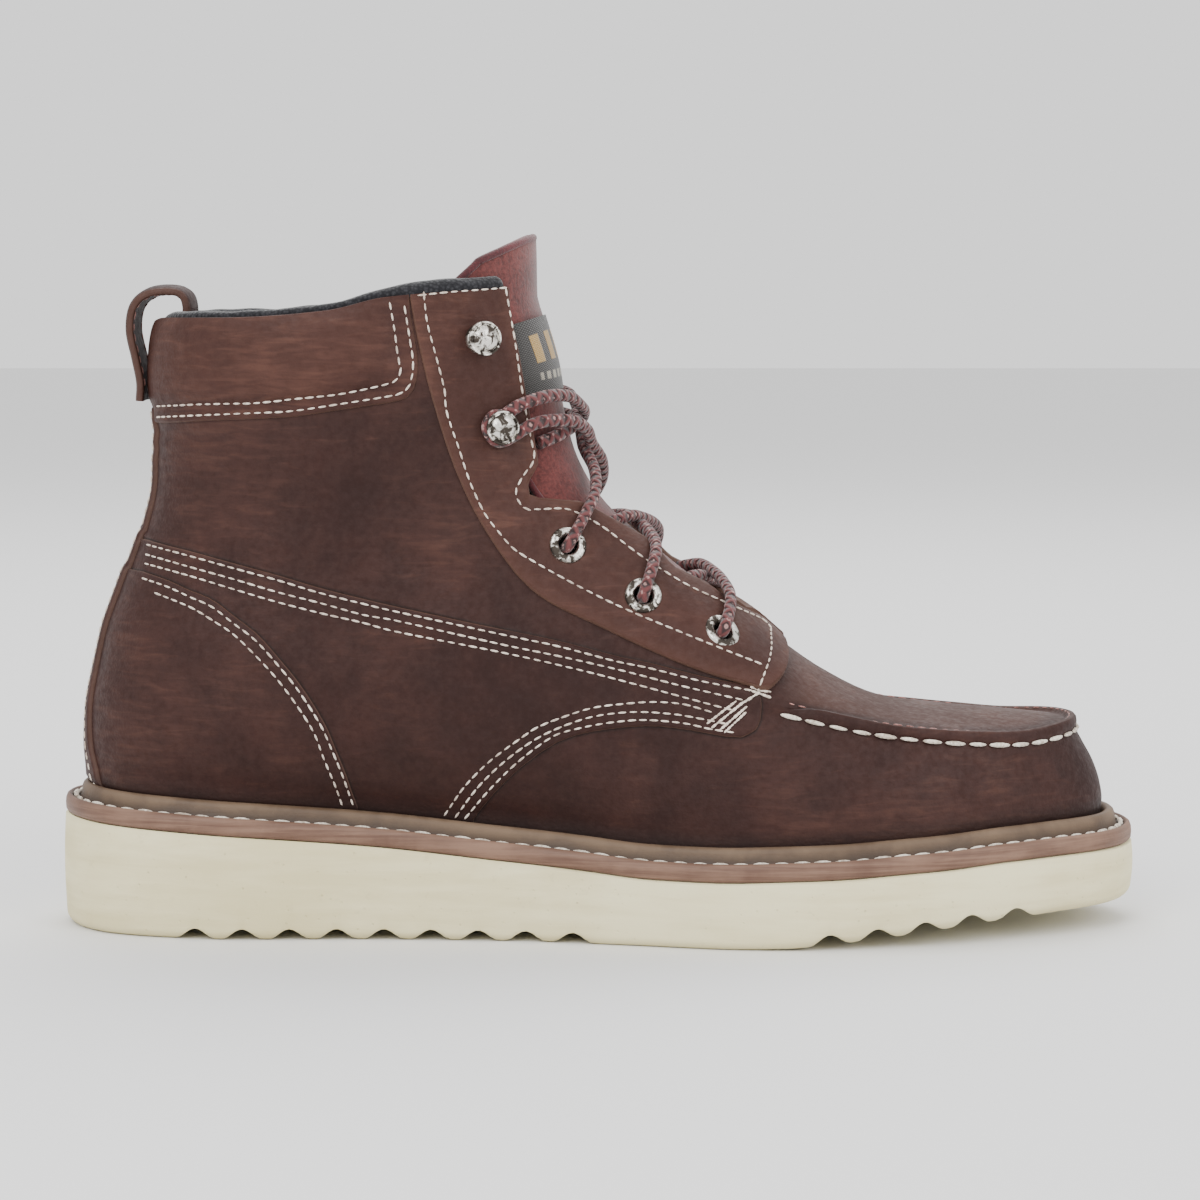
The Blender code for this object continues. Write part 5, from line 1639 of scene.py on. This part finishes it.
def stitchTree():
    # sews along an edge path: a stitch every Pitch, its length and thickness given, lying along the surface
    tree = bpy.data.node_groups.new("stitchRow", "GeometryNodeTree")
    tree.interface.new_socket("Geometry", in_out="INPUT", socket_type="NodeSocketGeometry")
    sizes = {}
    for label, value in (("Pitch", 0.003), ("Length", 0.0024), ("Thickness", 0.0006), ("Unevenness", 0.12)):
        socket = tree.interface.new_socket(label, in_out="INPUT", socket_type="NodeSocketFloat")
        socket.default_value = value
        sizes[label] = socket.identifier
    finish = tree.interface.new_socket("Thread", in_out="INPUT", socket_type="NodeSocketMaterial")
    sizes["Thread"] = finish.identifier
    tree.interface.new_socket("Geometry", in_out="OUTPUT", socket_type="NodeSocketGeometry")
    board = Board(tree)
    given = tree.nodes.new("NodeGroupInput")

    def taken(label):
        return Wire(board, given.outputs[label])

    line = board.add("GeometryNodeMeshToCurve", None, {"Mesh": taken("Geometry")})
    spaced = board.add("GeometryNodeResampleCurve", {"mode": "LENGTH"}, {"Curve": line, "Length": taken("Pitch")})
    facing = board.add("GeometryNodeInputNamedAttribute", {"data_type": "FLOAT_VECTOR"}, {"Name": "facing"})
    along = board.add("GeometryNodeInputTangent")
    turned1 = board.add("FunctionNodeAlignRotationToVector", {"axis": "X"}, {"Vector": along})
    turned2 = board.add("FunctionNodeAlignRotationToVector", {"axis": "Z", "pivot_axis": "X"},
                        {"Rotation": turned1, "Vector": facing})
    ball = board.add("GeometryNodeMeshUVSphere", None, {"Segments": 6, "Rings": 5, "Radius": 0.5})
    size = board.add("ShaderNodeCombineXYZ", None, {"X": taken("Thickness"), "Y": taken("Thickness"),
                                                    "Z": taken("Length")})
    stitch = board.add("GeometryNodeTransform", None, {"Geometry": ball, "Rotation": (0.0, math.pi / 2, 0.0)})
    size = board.add("ShaderNodeCombineXYZ", None, {"X": taken("Length"), "Y": taken("Thickness"),
                                                    "Z": taken("Thickness")})
    uneven = board.add("FunctionNodeRandomValue", {"data_type": "FLOAT"}, {"Seed": 7}, 1)
    span = 1.0 + (uneven * 2.0 - 1.0) * taken("Unevenness")
    scale = board.add("ShaderNodeVectorMath", {"operation": "SCALE"}, {0: size, "Scale": span})
    sewn = board.add("GeometryNodeInstanceOnPoints", None, {"Points": spaced, "Instance": stitch,
                                                            "Rotation": turned2, "Scale": scale})
    real = board.add("GeometryNodeRealizeInstances", None, {"Geometry": sewn})
    done = board.add("GeometryNodeSetMaterial", None, {"Geometry": real, "Material": taken("Thread")})
    result = tree.nodes.new("NodeGroupOutput")
    tree.links.new(done.socket, result.inputs["Geometry"])
    return tree, sizes


stitchGroup, stitchInputs = stitchTree()


def evenly(path, spacing):
    # (place, facing) pairs at about one spacing along a path
    result = [path[0]]
    for place, facing in path[1:]:
        gap = (place - result[-1][0]).length
        steps = max(int(gap / spacing), 1)
        start = result[-1]
        for step in range(1, steps + 1):
            part = step / steps
            result.append((start[0].lerp(place, part), start[1].lerp(facing, part).normalized()))
    return result


def sewn(name, paths, look, thread, slot, scale=1.0):
    # all the rows of one kind of stitch, made one plain mesh
    points, edges, facings = [], [], []
    for path in paths:
        if len(path) < 2:
            continue
        first = len(points)
        points += [place for place, _ in path]
        facings += [facing for _, facing in path]
        edges += [(i, i + 1) for i in range(first, len(points) - 1)]
    mesh = bpy.data.meshes.new(name)
    mesh.from_pydata([tuple(point) for point in points], edges, [])
    layer = mesh.attributes.new("facing", "FLOAT_VECTOR", "POINT")
    layer.data.foreach_set("vector", [value for facing in facings for value in facing])
    piece = bpy.data.objects.new(name, mesh)
    bpy.context.scene.collection.objects.link(piece)
    modifier = piece.modifiers.new("Stitches", "NODES")
    modifier.node_group = stitchGroup
    for label, value in zip(("Pitch", "Length", "Thickness", "Unevenness"), look):
        modifier[stitchInputs[label]] = value
    modifier[stitchInputs["Thread"]] = thread
    finished(piece)
    piece.data.shade_smooth()
    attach(piece, "root")
    return piece


# Rows read off the photograph, in its pixels.
rowsSeen = {
    "quarterTop": [(149, 545), (190, 556), (233, 568), (277, 580), (320, 593), (364, 604), (398, 612), (500, 634),
                   (557, 646), (615, 661), (649, 668), (701, 681), (748, 690)],
    "quarterMiddle": [(148, 555), (190, 567), (233, 579), (277, 592), (320, 603), (364, 615), (398, 621),
                      (500, 644), (563, 657), (624, 671), (682, 686), (739, 699)],
    "quarterLow": [(147, 564), (190, 576), (233, 589), (277, 602), (320, 613), (364, 623), (398, 632), (500, 652),
                   (576, 669), (642, 686), (705, 703), (728, 709)],
    "wingTop": [(446, 813), (465, 786), (490, 761), (521, 738), (538, 727), (563, 717), (592, 708), (622, 704),
                (653, 702), (682, 704), (708, 711)],
    "wingMiddle": [(457, 815), (478, 787), (505, 761), (536, 739), (566, 725), (596, 716), (634, 712), (672, 714),
                   (702, 719), (722, 723)],
    "wingLow": [(467, 816), (490, 789), (519, 761), (552, 737), (576, 729), (607, 723), (643, 720), (682, 723),
                (710, 729), (730, 732)],
    "counterOut": [(145, 579), (168, 587), (190, 597), (212, 607), (233, 623), (255, 640), (277, 664), (298, 690),
                   (320, 724), (331, 748), (342, 774), (352, 802)],
    "counterIn": [(158, 594), (190, 607), (212, 620), (233, 634), (255, 655), (277, 679), (298, 707), (314, 733),
                  (324, 759), (335, 785), (341, 802)],
    "collarIn": [(159, 406), (206, 404), (254, 403), (292, 399), (340, 394), (378, 386), (394, 381), (400, 372),
                 (397, 352), (394, 329), (390, 306)],
    "collarOut": [(159, 417), (206, 415), (254, 413), (292, 411), (340, 404), (378, 398), (401, 393), (410, 383),
                  (413, 364), (410, 341), (405, 310)],
    "stayTop": [(422, 295), (450, 292), (478, 290), (503, 288)],
    "stayRear": [(424, 296), (427, 322), (434, 349), (444, 388), (446, 409), (452, 429), (459, 449), (467, 474),
                 (475, 494), (485, 514), (497, 530), (514, 549), (538, 564), (576, 585), (623, 608), (678, 631),
                 (735, 654), (758, 663)],
    "stayFront": [(506, 292), (511, 320), (516, 350), (521, 385), (526, 415), (531, 440), (534, 459), (527, 470),
                  (519, 483), (516, 491), (519, 502), (527, 509), (548, 509), (570, 510), (601, 526), (634, 551),
                  (659, 568), (691, 587), (733, 606), (766, 622), (771, 637), (770, 656), (763, 677), (758, 690)],
}
tackSeen = [[(752, 688), (769, 692)], [(754, 692), (768, 697)], [(714, 726), (741, 704)], [(720, 730), (745, 708)],
            [(709, 722), (735, 702)], [(726, 731), (744, 714)], [(741, 704), (757, 694)]]
stitchLook = {"fine": (0.00300, 0.00235, 0.00062, 0.12), "tack": (0.0011, 0.0016, 0.00075, 0.3),
              "moc": (0.0067, 0.0060, 0.0014, 0.12), "welt": (0.0056, 0.0049, 0.0017, 0.16),
              "lip": (0.0034, 0.0024, 0.0005, 0.15)}


def rowOn(pixels, side, lift=0.00012):
    # a row lying on the skin, read off the outer side and repeated on the inner one
    path = []
    for pixel in curved(pixels, 6):
        place, normal = seenAt(pixel, skin)
        if place is None:
            continue
        if side > 0:
            place, normal = fromSide(place.x, place.z, 1)
            if place is None:
                continue
        path.append((place + normal * lift, normal))
    return path


def onBothSides(labels):
    return [rowOn(rowsSeen[label], side) for label in labels for side in (-1, 1)]


print("Sewing")
fineLabels = list(rowsSeen)
fineRows = sewn("seamStitches", onBothSides([label for label in fineLabels if label != "stayFront"]),
                stitchLook["fine"], fineThread, "sole_cream")
edgeRows = sewn("throatStitches", onBothSides(["stayFront"]), stitchLook["fine"], fineThread, "sole_cream")
tacks = sewn("barTacks", [rowOn(row, side, 0.0002) for row in tackSeen for side in (-1, 1)], stitchLook["tack"],
             fineThread, "sole_cream")


def stripRows():
    # beside both edges of the heel strip
    paths = []
    for side in (-1, 1):
        path = []
        for step in range(60):
            z = 0.040 + (stripLook["top"] - 0.0025 - 0.040) * step / 59
            y = side * (stripHalf(z) - 0.0022)
            place, normal, _, _ = skin.ray_cast(Vector((-0.3, y, z)), Vector((1, 0, 0)))
            if place is not None:
                if normal.x > 0:
                    normal = -normal
                path.append((place + normal * 0.00012, normal))
        paths.append(path)
    return paths


stripStitches = sewn("heelStripStitches", stripRows(), stitchLook["fine"], fineThread, "sole_cream")


def mocRows():
    # thick stitches under the lip, and a fine row on top of it
    thick, fine = [], []
    seam = seamLoop(240)
    inward = movedIn(seam, 1.0) - seam
    for point, direction in zip(seam, inward):
        if shareOf(point[0]) < 0.668:
            continue
        out = Vector((-direction[0], -direction[1], 0.0)).normalized()
        lift = seamZ(point[0])
        thick.append((Vector((point[0], point[1], lift + 0.0002)) + out * 0.0005, out))
        top = Vector((point[0], point[1], lift + 0.0036)) - out * 0.0017
        fine.append((top, (Vector((0, 0, 1)) - out * 0.35).normalized()))
    return thick, fine


mocThick, mocFine = mocRows()
mocStitches = sewn("mocStitches", [mocThick], stitchLook["moc"], weltThread, "sole_cream")
lipStitches = sewn("lipStitches", [mocFine], stitchLook["lip"], redThread, "tongue_leather")


def weltRow():
    loop = soleLoop(0.0031, 320)
    inner = soleLoop(0.0041, 320)
    path = []
    for (x, y), (ix, iy) in zip(loop, inner):
        out = Vector((x - ix, y - iy, 0.0)).normalized()
        path.append((Vector((x, y, weltTop(x) - weltLook["channel"] + 0.00045)), (Vector((0, 0, 1)) + out * 0.3).normalized()))
    return path + path[:1]


weltStitches = sewn("weltStitches", [weltRow()], stitchLook["welt"], weltThread, "welt_tan")


def loopRows():
    paths = []
    path = curved(sidePoints(loopLine), 6)[4:-6]
    for side in (-1, 1):
        row = []
        for i, (x, z) in enumerate(path):
            xa, za = path[max(i - 1, 0)]
            xb, zb = path[min(i + 1, len(path) - 1)]
            facing = Vector((-(zb - za), 0.0, xb - xa)).normalized()
            row.append((Vector((x, side * (loopLook["half"] - 0.0022), z))
                        + facing * (loopLook["thick"] / 2 - 0.00045), facing))
        paths.append(row)
    return paths


loopStitches = sewn("loopStitches", loopRows(), stitchLook["fine"], redThread, "tongue_leather")

insole.data.materials.clear()
insole.data.materials.append(bootLining)


# A pale floor and soft studio light.
studio = {"floor": (0.80, 0.80, 0.80), "world": 1.3,
          "lights": (((-0.7, -1.5, 1.3), 26.0, 1.1), ((1.2, -1.1, 0.9), 12.0, 0.9), ((0.1, 0.9, 1.5), 18.0, 1.2))}


def makeStudio():
    mesh = bpy.data.meshes.new("floor")
    wide = 6.0
    mesh.from_pydata([(-wide, -wide, 0), (wide, -wide, 0), (wide, wide, 0), (-wide, wide, 0)], [], [(0, 1, 2, 3)])
    floor = bpy.data.objects.new("floor", mesh)
    bpy.context.scene.collection.objects.link(floor)
    material, board, shader = newMaterial("pale floor", {"Roughness": 0.9, "Specular IOR Level": 0.1,
                                                         "Base Color": colour(*studio["floor"])})
    mesh.materials.append(material)
    world = bpy.data.worlds.new("studio")
    world.use_nodes = True
    sky = world.node_tree.nodes["Background"]
    sky.inputs["Color"].default_value = colour(1.0, 1.0, 1.0)
    sky.inputs["Strength"].default_value = studio["world"]
    bpy.context.scene.world = world
    for place, power, size in studio["lights"]:
        light = bpy.data.lights.new("softbox", "AREA")
        light.energy = power
        light.size = size
        lamp = bpy.data.objects.new("softbox", light)
        lamp.location = place
        lamp.rotation_euler = (Vector((0, 0, 0.08)) - Vector(place)).to_track_quat("-Z", "Y").to_euler()
        bpy.context.scene.collection.objects.link(lamp)


makeStudio()
total = sum(len(polygon.vertices) - 2 for item in bpy.data.objects if item.type == "MESH"
            for polygon in item.data.polygons)
print(f"Done: about {total} triangles with the solids")
